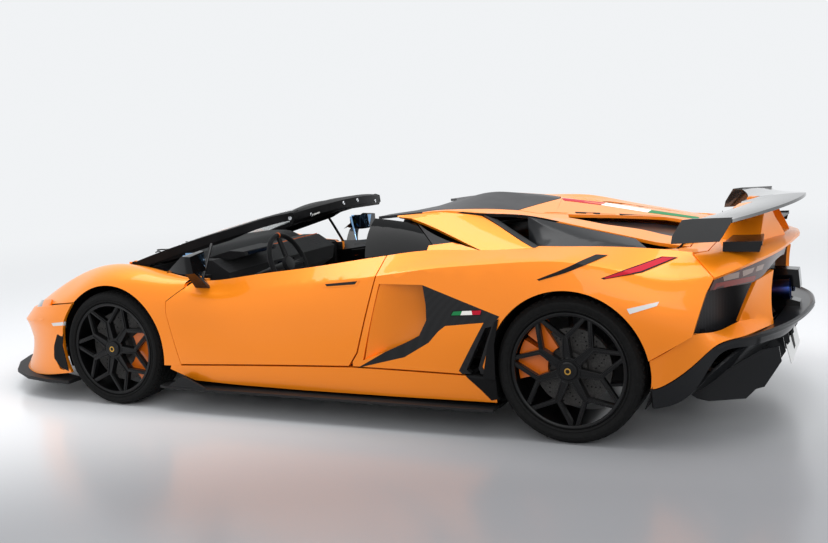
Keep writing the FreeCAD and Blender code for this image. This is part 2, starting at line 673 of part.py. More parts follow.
piece("roof_deck", middle_deck_part([
    (-1042, 0.5), (-926, 398), (-600, 505), (-430, 530), (-165, 528), (-250, 420), (-300, 300), (-305, 0.5)
]))
COVER_SIDE = [(-926, 398), (-1041, 428), (-1231, 340), (-1421, 250), (-1650, 150), (-1800, 135), (-1850, 135)]
cover = middle_deck_part([(-1042, 0.5)] + COVER_SIDE + [(-1850, 0.5)])
for x, y, reach in ((-1065, 396, 110), (-1262, 304, 140), (-1480, 204, 140)):
    slot = top_prism([(x, y), (x - reach, y - reach * 0.46), (x - reach - 6, y - reach * 0.46 - 18), (x - 6, y - 18)],
                     600, 1300)
    cover = cover.cut(slot).cut(mirrored(slot))
ear_notch = Part.makeBox(18, 26, 120, Vector(along(-1856), 98, up(880)))
cover = cover.cut(ear_notch).cut(mirrored(ear_notch))
lug, bore, cover_ear = lid_hinge(-1853, 942, 84, 104, -1826, -1880)
cover = cover.fuse(lug).fuse(mirrored(lug)).cut(bore).cut(mirrored(bore)).removeSplitter()
piece("engine_cover", cover)
RAIL_INNER = [(-926, 398), (-1041, 428), (-1190, 361), (-1215, 440), (-1410, 458), (-1600, 452), (-1745, 456),
              (-1800, 440), (-1860, 440)]
rail = deck_part(RAIL_INNER + [(-1860, 655), (-1700, 654), (-1600, 641), (-1320, 614), (-1046, 599), (-800, 566),
                 (-562, 556), (-440, 548), (-430, 530), (-600, 505)])
hip_top = deck_part([
    (-1958, 470), (-1860, 440), (-1860, 655), (-1700, 800), (-1434, 800), (-1158, 790), (-1142, 815), (-895, 820),
    (-700, 740), (-560, 760), (-560, 900), (-1897, 900), (-1897, 808), (-1952, 720)
])
piece("rear_quarters", both_sides(Part.makeCompound([quarter, scallop, hip_top])))

# Dark channel beside the engine cover and the duct floor under the scoop
channel_net = [
    [(-1180, 330, 985), (-1421, 225, 965), (-1650, 130, 940), (-1855, 120, 905)],
    [(-1195, 500, 975), (-1421, 500, 945), (-1650, 490, 905), (-1855, 460, 880)],
]
channel = wall([[spot(*p) for p in row] for row in channel_net], 8, -1)
scoop_floor = top_prism([(-800, 560), (-1150, 575), (-1270, 690), (-1180, 780), (-1000, 720)], up(850), up(860))
SCOOP = [
    [(-1046, 604, 1042), (-1232, 700, 965), (-1160, 778, 904), (-1060, 640, 900)],
    [(-1330, 622, 988), (-1450, 748, 938), (-1420, 796, 910), (-1380, 660, 890)],
    [(-1600, 650, 938), (-1685, 784, 908), (-1675, 798, 902), (-1640, 680, 885)],
]
scoop = tube([[spot(*p) for p in ring] for ring in SCOOP])
scoop_lip_net = [
    [(-800, 572, 1048), (-970, 690, 976), (-1138, 806, 906)],
    [(-880, 590, 1026), (-1020, 680, 966), (-1160, 772, 908)],
]
scoop_lip = wall([[spot(*p) for p in row] for row in scoop_lip_net], 10, -1)
piece("deck_vents", both_sides(Part.makeCompound([channel, scoop_floor, scoop.fuse(scoop_lip)])))

# Tail deck with the lip that overhangs the lamps
TAIL_NET = [
    [(-1858, 800, 897), (-1897, 808, 888), (-1930, 836, 860), (-1965, 864, 828), (-2004, 887, 793)],
    [(-1858, 705, 899), (-1945, 735, 891), (-2005, 760, 872), (-2055, 775, 848), (-2095, 785, 822)],
    [(-1858, 605, 905), (-1955, 620, 899), (-2035, 640, 889), (-2105, 652, 870), (-2165, 660, 845)],
    [(-1858, 470, 912), (-1965, 475, 905), (-2065, 478, 900), (-2150, 478, 886), (-2228, 478, 862)],
    [(-1858, 230, 948), (-1970, 240, 922), (-2080, 248, 912), (-2180, 250, 900), (-2272, 250, 878)],
    [(-1858, 0, 953), (-1975, 0, 925), (-2095, 0, 915), (-2200, 0, 905), (-2298, 0, 890)],
]
tail_form = wall([[spot(*p) for p in row] for row in TAIL_NET], 16, -1)
tail_half = tail_form.common(top_prism(
    [(-1860, 0), (-1860, 438), (-1960, 468), (-1955, 722), (-1899, 812), (-1899, 830), (-1960, 900), (-2400, 900),
     (-2400, 0)], 600, 1300))
tail_deck = whole(tail_half)
hinge_room = Part.makeCylinder(16, 24, Vector(along(-1853), 80, up(942)), Vector(0, 1, 0))
tail_deck = tail_deck.cut(hinge_room).cut(mirrored(hinge_room)).fuse(cover_ear).fuse(mirrored(cover_ear))
piece("tail_deck", tail_deck)

# Buttresses: broad flat bands from the roof's corner down to the hips
BAND_NET = [
    [(-400, 598, 1035), (-560, 656, 990), (-720, 734, 940), (-893, 818, 887)],
    [(-562, 550, 1064), (-700, 624, 1014), (-850, 720, 956), (-1015, 817, 899)],
    [(-757, 545, 1050), (-890, 634, 1004), (-1015, 726, 954), (-1142, 815, 909)],
]
band = wall([[spot(*p) for p in row] for row in BAND_NET], 18, -1)
tip = tube([
    [spot(-300, 562, 1040), spot(-300, 556, 1046), spot(-310, 540, 1040), spot(-310, 548, 1030)],
    [spot(-400, 598, 1035), spot(-562, 550, 1064), spot(-560, 530, 1050), spot(-405, 580, 1020)],
])
piece("buttresses", both_sides(band.fuse(tip).fuse(rail)))

# Dark rear side glass
side_glass_net = [
    [(-215, 806, 852), (-400, 795, 870), (-610, 780, 892)],
    [(-180, 690, 960), (-350, 700, 960), (-520, 700, 955)],
    [(-172, 572, 1034), (-300, 590, 1024), (-430, 606, 1008)],
]
side_glass = wall([[spot(*p) for p in row] for row in side_glass_net], GLASS, -1)
glass_trim_net = [
    [(-612, 778, 892), (-700, 776, 900), (-790, 780, 910)],
    [(-440, 608, 1008), (-560, 680, 960), (-700, 748, 925)],
]
glass_trim = wall([[spot(*p) for p in row] for row in glass_trim_net], 8, -1)
piece("rear_side_glass", both_sides(side_glass))
piece("side_glass_trim", both_sides(glass_trim))

# Tail: dark inner panel, lamps, bumper with its struts
inner_panel_net = [
    [(-1890, 860, 520), (-1955, 760, 518), (-2035, 610, 515), (-2110, 460, 515), (-2150, 250, 515), (-2160, 0, 515)],
    [(-1896, 855, 770), (-1960, 758, 795), (-2040, 610, 822), (-2116, 460, 842), (-2156, 250, 856), (-2166, 0, 862)],
]
inner_panel = wall([[spot(*p) for p in row] for row in inner_panel_net], 14, -1)
piece("rear_grille", whole(inner_panel))
LAMP_NET = [
    [(-1977, 868, 728), (-2068, 768, 737), (-2150, 625, 738), (-2208, 450, 792), (-2248, 300, 820)],
    [(-2003, 868, 786), (-2086, 768, 812), (-2155, 642, 834), (-2218, 460, 850), (-2258, 300, 862)],
]
tail_lamp = wall([[spot(*p) for p in row] for row in LAMP_NET], 26, -1)
piece("tail_lamps", both_sides(tail_lamp))
CORNER_NET = [
    [(-1732, 985, 288), (-1800, 965, 310), (-1925, 915, 405), (-2013, 866, 483), (-2095, 775, 500), (-2160, 640, 506),
     (-2216, 478, 508)],
    [(-1734, 1012, 425), (-1830, 985, 480), (-1920, 936, 538), (-1975, 862, 535), (-2022, 765, 534), (-2082, 650, 552),
     (-2214, 478, 542)],
]
corner = wall([[spot(*p) for p in row] for row in CORNER_NET], 18, -1).cut(rear_arch_cut)
STRUT_NET = [
    [(-2078, 656, 548), (-2140, 570, 524), (-2217, 476, 512)],
    [(-2116, 642, 645), (-2160, 560, 642), (-2206, 476, 640)],
    [(-2156, 622, 740), (-2185, 545, 752), (-2216, 470, 768)],
]
strut = wall([[spot(*p) for p in row] for row in STRUT_NET], 18, -1)
rear_corner = corner.fuse(strut)
piece("rear_bumper", both_sides(rear_corner))

# Diffuser: side plates, the blade that sweeps up to the middle, tunnel roof and strakes
BLADE_TOP = [(-1735, 983, 282), (-1800, 963, 303), (-1925, 913, 398), (-2013, 863, 476), (-2110, 788, 499),
             (-2200, 690, 507), (-2290, 500, 516), (-2350, 250, 524), (-2374, 0, 528)]
BLADE_LOW = [(-1735, 950, 186), (-1838, 895, 206), (-1945, 858, 318), (-2030, 835, 440), (-2130, 760, 456),
             (-2200, 640, 456), (-2258, 500, 454), (-2300, 250, 464), (-2318, 0, 468)]
BLADE_FRONT = [(-1935, 850, 440), (-2040, 760, 480), (-2110, 650, 494), (-2190, 480, 506), (-2225, 250, 514),
               (-2235, 0, 518)]
outer_band = wall([[spot(*p) for p in row] for row in (BLADE_LOW, BLADE_TOP)], 14, -1)
plate_edge = [(x + 4, y, z - 4) for x, y, z in BLADE_TOP[3:]]
top_plate = wall([[spot(*p) for p in row] for row in (plate_edge, BLADE_FRONT)], 12, -1)
tunnel_net = [
    [(-1740, 0, 152), (-1900, 0, 192), (-2050, 0, 270), (-2190, 0, 380), (-2300, 0, 472)],
    [(-1740, 450, 152), (-1900, 450, 195), (-2040, 450, 270), (-2160, 450, 375), (-2266, 450, 462)],
    [(-1740, 850, 165), (-1850, 830, 205), (-1950, 800, 300), (-2050, 760, 395), (-2140, 715, 462)],
]
tunnel_roof = wall([[spot(*p) for p in row] for row in tunnel_net], 12, -1)
diffuser = whole(outer_band.fuse(top_plate).fuse(tunnel_roof))
for y in (0, 230, 450, 660):
    strake = side_prism(
        [(-1850, 190), (-1885, 168), (-1940, 158), (-2112, 183), (-2157, 232), (-2195, 245), (-2271, 371),
         (-2258, 440), (-2180, 420), (-2000, 300)], y - 5, y + 5
    )
    diffuser = diffuser.fuse(strake)
    if y:
        diffuser = diffuser.fuse(mirrored(strake))
piece("diffuser", diffuser)

# Blank number plate on its hanger under the blade
plate = Part.makeBox(4, 520, 100, Vector(-4, -260, 0))
plate.rotate(Vector(0, 0, 0), Vector(0, 1, 0), 14)
plate.translate(Vector(along(-2278), 0, up(264)))
hanger = side_prism([(-2276, 290), (-2225, 290), (-2215, 430), (-2268, 452), (-2262, 360)], -40, 40)
hanger = hanger.cut(whole(tunnel_roof)).cut(plate)
piece("number_plate", plate)
piece("plate_hanger", hanger)

# Exhaust: two tips either side of a dark surround in the middle
tips = []
for side in (1, -1):
    mouth = Vector(along(-2262), side * 118.0, up(618))
    root = Vector(along(-2020), side * 118.0, up(600))
    outer = bar(root, mouth, size("exhaust_radius"))
    inner = bar(root, mouth + Vector(-5, 0, 0), size("exhaust_radius") - size("exhaust_wall"))
    tips.append(outer.cut(inner))
surround = side_prism([(-2160, 712), (-2296, 706), (-2306, 610), (-2240, 628), (-2230, 560), (-2306, 540),
                       (-2300, 478), (-2200, 470), (-2160, 520)], -52, 52)
piece("exhaust", Part.makeCompound(tips))
piece("exhaust_surround", surround)

# Rear wing
half_span = size("wing_span") / 2
blade_net = [
    [(-2012, 0, 1052), (-2105, 0, 1074), (-2215, 0, 1090), (-2326, 0, 1094)],
    [(-2006, 300, 1048), (-2085, 300, 1064), (-2175, 300, 1074), (-2266, 300, 1074)],
    [(-1962, 600, 1048), (-2022, 600, 1057), (-2090, 600, 1061), (-2152, 600, 1055)],
    [(-1905, 850, 1048), (-1960, 850, 1054), (-2020, 850, 1056), (-2078, 850, 1052)],
]
blade_net = [[spot(*p) for p in row] for row in blade_net]
wing_blade = whole(wall(blade_net, size("blade_thickness"), 1))
END_PLATE = [(-1806, 940), (-1812, 975), (-1857, 1050), (-1905, 1056), (-2078, 1062), (-2074, 1040), (-2022, 952)]
end_plate = side_prism(END_PLATE, half_span - size("wing_plate_thickness"), half_span)
piece("wing_blade", wing_blade.fuse(end_plate).fuse(mirrored(end_plate)))
PYLON = [
    [(-1960, 440, 893), (-2140, 410, 878), (-2240, 120, 886), (-1980, 140, 905)],
    [(-1968, 392, 950), (-2148, 345, 950), (-2205, 130, 960), (-1990, 150, 960)],
    [(-1990, 350, 1010), (-2152, 300, 1006), (-2180, 140, 1014), (-2002, 160, 1014)],
    [(-2012, 330, 1052), (-2162, 285, 1062), (-2178, 150, 1076), (-2020, 165, 1058)],
]
pylon = tube([[spot(*p) for p in ring] for ring in PYLON])
piece("wing_pylons", both_sides(pylon))
winglet = top_prism([(-2020, 360), (-2160, 340), (-2188, 690), (-2016, 690)], up(914), up(926))
winglet_plate = side_prism([(-2014, 930), (-2012, 885), (-2176, 884), (-2188, 934)], across(682), across(694))
piece("winglets", both_sides(winglet.fuse(winglet_plate)))

# Cabin and structure
FLOOR_Z = size("floor_height")
FLOOR_TOP = FLOOR_Z + size("floor_thickness")


def block(x_low, x_high, y_low, y_high, z_low, z_high):
    """A box between drawn x places and true y and z heights."""
    return Part.makeBox(
        along(x_high) - along(x_low), y_high - y_low, z_high - z_low, Vector(along(x_low), y_low, z_low)
    )


CABIN_HALF = 690.0
wall_t = size("cabin_wall")
floor = top_prism([(-1000, -CABIN_HALF), (985, -CABIN_HALF), (1290, -500), (1290, 500), (985, CABIN_HALF),
                   (-1000, CABIN_HALF)], FLOOR_Z, FLOOR_TOP)
SEAT_BOLT_RADIUS = 5.25
SEAT_BOLT_REACH = 130.0
for side in (1, -1):
    for dx in (-SEAT_BOLT_REACH, SEAT_BOLT_REACH):
        for dy in (-SEAT_BOLT_REACH, SEAT_BOLT_REACH):
            bolt_hole = Part.makeCylinder(SEAT_BOLT_RADIUS, 60, Vector(
                along(90) + dx, side * size("seat_spacing") / 2 + dy, FLOOR_Z - 5))
            floor = floor.cut(bolt_hole)
front_bulkhead = block(1250, 1250 + wall_t, -540, 540, FLOOR_TOP, up(700)).cut(
    block(1240, 1300, -700, 700, FLOOR_TOP, FLOOR_TOP + 0.2))
rear_bulkhead = end_prism(
    [(-740, 148), (740, 148), (740, 840), (532, 1030), (0, 1040), (-532, 1030), (-740, 840)], -370, -330)
tub_parts = [floor, front_bulkhead, rear_bulkhead]
for side in (1, -1):
    inner_sill = block(-980, 930, 0, 128, FLOOR_TOP, up(290))
    inner_sill.translate(Vector(0, 740 if side > 0 else -868, 0))
    sill_floor = block(-980, 930, 0, 250, FLOOR_Z + 14, FLOOR_TOP)
    sill_floor.translate(Vector(0, CABIN_HALF if side > 0 else -CABIN_HALF - 250, 0))
    post = block(800, 930, 0, 37, up(290), up(735))
    post.translate(Vector(0, 735 if side > 0 else -772, 0))
    post = post.fuse(hinge_pin if side > 0 else mirrored(hinge_pin))
    for x in (-850, 720):
        jack_pad = Part.makeBox(90, 60, 20, Vector(along(x), 760 if side > 0 else -820, FLOOR_Z - 6))
        sill_floor = sill_floor.fuse(jack_pad)
    tub_parts += [inner_sill.cut(rear_bulkhead), sill_floor.cut(rear_bulkhead), post]
tunnel = block(-330, 1250, -105, 105, FLOOR_TOP, 400)
tub_parts.append(tunnel)
piece("tub", Part.makeCompound(tub_parts))

front_frame = block(1290, 2262, -360, -300, 190, 290).fuse(block(1290, 2262, 300, 360, 190, 290))
front_frame = front_frame.fuse(block(2210, 2330, -360, 360, 190, 290)).cut(whole(grille))
tow_place = Vector(along(2330), across(170), up(205))
tow_socket = Part.makeCylinder(18, 45, tow_place + Vector(-5, 0, 0), Vector(1, 0, 0))
front_frame = front_frame.fuse(tow_socket).cut(
    Part.makeCylinder(8, 60, tow_place + Vector(-20, 0, 0), Vector(1, 0, 0)))
front_frame = front_frame.fuse(block(1290, 2180, -300, 300, 150, 196))
rear_frame = block(-2020, -370, -430, -370, 170, 250).fuse(block(-2020, -370, 370, 430, 170, 250))
rear_frame = rear_frame.fuse(block(-2020, -1960, -370, 370, 170, 250))
rear_frame = rear_frame.fuse(block(-1960, -370, -370, 370, 140, 170))
rear_frame = rear_frame.fuse(block(-1400, -1300, -430, 430, 640, 690))
for side in (1, -1):
    y = 400 * side
    rear_frame = rear_frame.fuse(block(-1380, -1320, y - 30, y + 30, 250, 690))
piece("frames", Part.makeCompound([front_frame, rear_frame]))

dash_outline = [(1345, 745), (1100, 795), (860, 800), (745, 730), (760, 640), (880, 560), (1244, 520), (1300, 700)]
dash = side_prism(dash_outline, -640, 640)
for side in (1, -1):
    wheel_room = block(985, 1400, 560, 700, 400, 800)
    dash = dash.cut(wheel_room if side > 0 else mirrored(wheel_room))
console = side_prism([(880, 640), (700, 620), (300, 470), (-240, 430), (-240, 402), (1200, 402), (1200, 560)], -100, 100)
hood = side_prism([(960, 800), (800, 845), (700, 840), (690, 815), (800, 790)], 190, 550)
tub_shape = nodes["tub"].Shape
dash = dash.cut(tub_shape)
piece("dashboard", Part.makeCompound([dash, console.cut(dash).cut(tub_shape), hood.cut(dash)]))

seat_profile = [
    (360, 210), (380, 300), (330, 372), (120, 340), (-60, 320), (-190, 640), (-255, 930), (-300, 960),
    (-318, 930), (-290, 640), (-200, 240), (-160, 200),
]
seat_half = size("seat_width") / 2
seats = []
for side in (1, -1):
    centre = side * size("seat_spacing") / 2
    shell = side_prism(seat_profile, centre - seat_half + 10, centre + seat_half - 10)
    mount = block(-120, 300, centre - 180, centre + 180, FLOOR_TOP, 215)
    seats.append(shell.fuse(mount))
piece("seats", Part.makeCompound(seats))

wheel_centre = spot(520, 0, 745)
wheel_centre.y = size("seat_spacing") / 2
column_axis = Vector(0.93, 0, -0.36)
ring = Part.makeTorus(size("steering_wheel_radius"), size("steering_grip_radius"), Vector(0, 0, 0), Vector(0, 0, 1))
arms = Part.makeCylinder(48, 26, Vector(0, 0, -13))
for turn in (0, 180, 270):
    arm = Part.makeBox(size("steering_wheel_radius") - 4, 34, 12, Vector(0, -17, -6))
    arm.rotate(Vector(0, 0, 0), Vector(0, 0, 1), turn)
    arms = arms.fuse(arm)
steering = ring.fuse(arms).fuse(Part.makeCylinder(24, 300, Vector(0, 0, 0)))
steering.Placement = Placement(wheel_centre, Rotation(Vector(0, 0, 1), column_axis))
piece("steering_wheel", steering.cut(nodes["dashboard"].Shape))

engine = block(-1230, -450, -size("engine_width") / 2, size("engine_width") / 2, 180, 180 + size("engine_height"))
gearbox = block(-1700, -1230, -170, 170, 200, 460)
piece("engine", engine.fuse(gearbox))

# Wheels: tyre, rim and brake disc turn together about a stub axle
STUB_RADIUS = 30.0
STUB_GAP = 0.4


def bound(kind, name, placement, **expressions):
    feature = doc.addObject(kind, name)
    for prop, expression in expressions.items():
        feature.setExpression(prop, expression)
    feature.Placement = placement
    return feature


# Parked with one spoke up, leaning forward by this many degrees
SPOKE_LEAN = {"front": 10.0, "rear": 5.0}


def wheel(end, side, tag):
    """One wheel; end is front or rear, side is +1 on the left."""
    axle_x = FRONT_AXLE_X if end == "front" else REAR_AXLE_X
    radius = size(end + "_tyre_radius")
    width = size(end + "_tyre_width")
    rim = size(end + "_rim_radius")
    track_half = size(end + "_track") / 2
    outer_y = track_half + width / 2
    # The wheel is made with its outer face at height zero, looking up the local Z axis
    turn = Rotation(Vector(0, 0, 1), Vector(0, side, 0))
    hub = Vector(axle_x, side * outer_y, radius)
    home = Placement(hub, turn)
    low = Placement(hub - Vector(0, side * width, 0), turn)
    solid_tyre = bound("Part::Cylinder", "tyre_block_" + tag, low,
                       Radius="sizes.%s_tyre_radius" % end, Height="sizes.%s_tyre_width" % end)
    doc.recompute()
    rounded = doc.addObject("Part::Fillet", "tyre_round_" + tag)
    rounded.Base = solid_tyre
    shoulder = size("tyre_shoulder")
    rounded.Edges = [(1, shoulder, shoulder), (3, shoulder, shoulder)]
    hole = bound("Part::Cylinder", "tyre_hole_" + tag, low,
                 Radius="sizes.%s_rim_radius" % end, Height="sizes.%s_tyre_width" % end)
    tyre = doc.addObject("Part::Cut", "tyre_" + tag)
    tyre.Base = rounded
    tyre.Tool = hole
    tyre.Label = "tyre_" + tag
    nodes["tyre_" + tag] = tyre

    inset_in = 12.0
    barrel = Part.makeCylinder(rim - 0.3, width - 2 * inset_in, Vector(0, 0, -width + inset_in))
    barrel = barrel.cut(Part.makeCylinder(rim - size("rim_barrel_wall"), width, Vector(0, 0, -width)))
    lip = Part.makeCylinder(rim - 0.3, 12, Vector(0, 0, -inset_in - 12))
    lip = lip.cut(Part.makeCylinder(rim - 16, 12, Vector(0, 0, -inset_in - 12)))
    depth = size("spoke_depth")
    face = -inset_in - 4
    hub_disc = Part.makeCylinder(size("rim_hub_radius"), depth + 10, Vector(0, 0, face - depth - 10))
    rim_solid = barrel.fuse(lip).fuse(hub_disc)
    reach = rim - size("rim_barrel_wall") / 2
    fork = reach * 0.60
    for k in range(7):
        parts_of_spoke = []
        stem = Part.makePolygon([Vector(45, -22, 0), Vector(fork, -15, 0), Vector(fork, 15, 0), Vector(45, 22, 0), Vector(45, -22, 0)])
        parts_of_spoke.append(Part.Face(stem).extrude(Vector(0, 0, -depth)))
        for way in (1, -1):
            tip = math.radians(360.0 / 14) * way * 0.92
            end_point = Vector(reach * math.cos(tip), reach * math.sin(tip), 0)
            start = Vector(fork - 12, 0, 0)
            direction = end_point - start
            normal = Vector(-direction.y, direction.x, 0)
            normal.normalize()
            loop = [start - normal * 11, end_point - normal * 10, end_point + normal * 10, start + normal * 11]
            parts_of_spoke.append(Part.Face(Part.makePolygon(loop + [loop[0]])).extrude(Vector(0, 0, -depth * 0.8)))
        spoke = parts_of_spoke[0].fuse(parts_of_spoke[1]).fuse(parts_of_spoke[2])
        spoke.translate(Vector(0, 0, face))
        spoke.rotate(Vector(0, 0, 0), Vector(0, 0, 1), -side * (90 - SPOKE_LEAN[end]) + 360.0 / 7 * k)
        rim_solid = rim_solid.fuse(spoke)
    inside = Part.makeCylinder(reach, width * 2, Vector(0, 0, -width))
    rim_solid = rim_solid.common(inside.fuse(barrel).fuse(lip))
    bore = Part.makeCylinder(STUB_RADIUS + STUB_GAP, depth + 30, Vector(0, 0, face - depth - 12))
    cap = Part.makeCylinder(40, 14, Vector(0, 0, face - 2))
    rim_solid = rim_solid.cut(bore).fuse(cap)
    rim_solid.Placement = home
    piece("rim_" + tag, rim_solid.removeSplitter())

    disc_radius = size(end + "_disc_radius")
    disc_t = size("disc_thickness")
    disc_face = -96.0
    rotor = Part.makeCylinder(disc_radius, disc_t, Vector(0, 0, disc_face - disc_t))
    rotor = rotor.cut(Part.makeCylinder(disc_radius - 16, disc_t * 0.4, Vector(0, 0, disc_face - disc_t * 0.7)).cut(
        Part.makeCylinder(100, disc_t * 0.4, Vector(0, 0, disc_face - disc_t * 0.7))))
    bell = Part.makeCylinder(80, disc_face * -1 - 16 - 12 - depth + 14, Vector(0, 0, disc_face - 10))
    rotor = rotor.fuse(bell)
    rotor = rotor.cut(Part.makeCylinder(STUB_RADIUS + STUB_GAP, 400, Vector(0, 0, -350)))
    rotor.Placement = home
    rotor = rotor.cut(rim_solid)
    piece("disc_" + tag, rotor)

    # Caliper, clear of the disc by its running gap
    run = 5.5
    outer_radius = rim - size("rim_barrel_wall") - 10
    half = size("caliper_width") / 2
    middle = disc_face - disc_t / 2
    body = Part.makeCylinder(outer_radius, 2 * half, Vector(0, 0, middle - half))
    body = body.cut(Part.makeCylinder(disc_radius - 75, 2 * half, Vector(0, 0, middle - half)))
    slot = Part.makeCylinder(disc_radius + run, disc_t + 2 * run, Vector(0, 0, middle - disc_t / 2 - run))
    body = body.cut(slot)
    clamps = []
    for spread in (360 if end == "front" else 160, 75):
        sector = Part.Face(Part.makePolygon([
            Vector(0, 0, 0), Vector(400, -spread, 0), Vector(400, spread, 0), Vector(0, 0, 0)
        ])).extrude(Vector(0, 0, 400))
        sector.translate(Vector(0, 0, -400))
        clamp = body.common(sector)
        clamp.Placement = home
        clamps.append(clamp)
    return {"hub": hub, "caliper": clamps[0], "parking_caliper": clamps[1], "disc_face": disc_face, "side": side, "turn": turn,
            "outer_y": outer_y, "radius": radius, "axle_x": axle_x}


def swing(shape, hub, degrees):
    """A brake part turned about the wheel's axle, so that it lies at this angle up from the front."""
    copy = shape.copy()
    copy.rotate(hub, Vector(0, 1, 0), degrees)
    return copy


KINGPIN_RADIUS = 14.0
PIN_GAP = 0.4
EYE_RADIUS = 27.0


def eye_arm(x_axle, side, pin_y, z, inner_y, spread, thickness=24.0):
    """A wishbone: an eye around the pin, and two bars to the frame."""
    eye_centre = Vector(x_axle, side * pin_y, z)
    eye = Part.makeCylinder(EYE_RADIUS, thickness, eye_centre - Vector(0, 0, thickness / 2))
    arm = eye
    for way in (1, -1):
        root = Vector(x_axle + way * spread, side * inner_y, z)
        arm = arm.fuse(bar(root, eye_centre + Vector(way * 8, -side * 12, 0), 11))
    return arm


hubs = {}
arms_all = []
rear_brakes = []
for end in ("front", "rear"):
    for side, name_side in ((1, "left"), (-1, "right")):
        tag = end + "_" + name_side
        made = wheel(end, side, tag)
        hubs[tag] = made
        hub = made["hub"]
        plate_out = made["outer_y"] - 175.0
        stub_end = made["outer_y"] - 20.0
        x0 = made["axle_x"]
        z0 = made["radius"]
        plate = Part.makeBox(100, 26, 244, Vector(x0 - 50, 0, z0 - 122))
        plate.translate(Vector(0, plate_out - 26 if side > 0 else -plate_out, 0))
        stub = bar(Vector(x0, side * (plate_out - 10), z0), Vector(x0, side * stub_end, z0), STUB_RADIUS)
        angle = 190 if end == "front" else 8
        caliper = swing(made["caliper"], hub, -angle)
        inner_face = made["outer_y"] - 160.0
        lug = Part.makeBox(182, inner_face - plate_out + 10, 80, Vector(x0 + 20, 0, z0 - 40))
        lug.translate(Vector(0, plate_out - 10 if side > 0 else -inner_face, 0))
        lug = swing(lug, hub, -angle)
        if end == "front":
            pin_y = 770.0
            pin = Part.makeCylinder(KINGPIN_RADIUS, 330, Vector(x0, side * pin_y, z0 - 165))
            joiner = Part.makeBox(50, 60, 24, Vector(x0 - 25, 0, z0 - 124))
            joiner.translate(Vector(0, 756 if side > 0 else -816, 0))
            upper = joiner.copy()
            upper.translate(Vector(0, 0, 224))
            knuckle = plate.fuse(stub).fuse(pin).fuse(joiner).fuse(upper).fuse(lug)
            piece("knuckle_" + tag, knuckle)
            piece("caliper_" + tag, caliper.cut(knuckle))
            hole = Part.makeCylinder(KINGPIN_RADIUS + PIN_GAP, 900, Vector(x0, side * pin_y, 0))
            for z in (z0 - 142, z0 + 142):
                arms_all.append(eye_arm(x0, side, pin_y, z, 345, 150).cut(hole))
        else:
            upright = plate.fuse(stub)
            for z in (z0 - 110, z0 + 110):
                for way in (1, -1):
                    root = Vector(x0 + way * 150, side * 420, z - (90 if z < z0 else -180))
                    upright = upright.fuse(bar(root, Vector(x0 + way * 30, side * (plate_out - 12), z), 12))
            shaft = bar(Vector(x0, side * 150, 330), Vector(x0, side * (plate_out - 5), z0), 24)
            parking_lug = Part.makeBox(182, inner_face - plate_out + 10, 36, Vector(x0 + 20, 0, z0 - 18))
            parking_lug.translate(Vector(0, plate_out - 10 if side > 0 else -inner_face, 0))
            upright = upright.fuse(shaft).fuse(lug).fuse(swing(parking_lug, hub, -47))
            arms_all.append(upright)
            rear_brakes.append(caliper.cut(upright))
            rear_brakes.append(swing(made["parking_caliper"], hub, -47).cut(upright))

suspension = Part.makeCompound(arms_all).cut(nodes["frames"].Shape).cut(nodes["engine"].Shape)
front_posts = []
for side in (1, -1):
    for way in (1, -1):
        post = Part.makeBox(36, 30, 230, Vector(FRONT_AXLE_X + way * 150 - 18, -15, 290))
        post.translate(Vector(0, side * 330, 0))
        front_posts.append(post)
front_posts = Part.makeCompound(front_posts)
piece("suspension", Part.makeCompound([suspension.cut(front_posts), front_posts]))
piece("rear_calipers", Part.makeCompound(rear_brakes))

# Wheel liners inside the arches
LINER = size("liner_wall")


def liner(axle_x, radius, z_axle, y_in, y_out, window_low, window_high):
    shell = Part.makeCylinder(radius + LINER, y_out - y_in, Vector(axle_x, y_in, z_axle), Vector(0, 1, 0))
    hollow = Part.makeCylinder(radius, y_out - y_in, Vector(axle_x, y_in + LINER, z_axle), Vector(0, 1, 0))
    shell = shell.cut(hollow)
    window = Part.makeBox(460, 80, window_high - window_low, Vector(axle_x - 230, y_in - 40, window_low))
    below = Part.makeBox(1200, 900, 400, Vector(axle_x - 600, 400, -210))
    return shell.cut(window).cut(below)


front_liner = liner(FRONT_AXLE_X, 404.0, size("front_tyre_radius"), 566, 895, 170, 520)
front_liner = front_liner.cut(fender).cut(bumper_half).cut(sill)
rear_liner = liner(REAR_AXLE_X, REAR_ARCH + 1, size("rear_tyre_radius"), 628, 985, 180, 700)
rear_liner = rear_liner.cut(quarter).cut(hip_top).cut(sill).cut(rear_corner)
piece("wheel_liners", Part.makeCompound([both_sides(front_liner), both_sides(rear_liner)]))

# Lamps in the front corners
lamp_net = [
    [(1900, 930, 470), (2060, 838, 462), (2180, 742, 456)],
    [(1870, 908, 530), (2040, 806, 512), (2150, 710, 498)],
    [(1850, 888, 590), (2000, 796, 566), (2110, 702, 545)],
]
lamp = wall([[spot(*p) for p in row] for row in lamp_net], 12, 1)
lamp = lamp.cut(fender).cut(bumper_half)
piece("headlamps", both_sides(lamp))


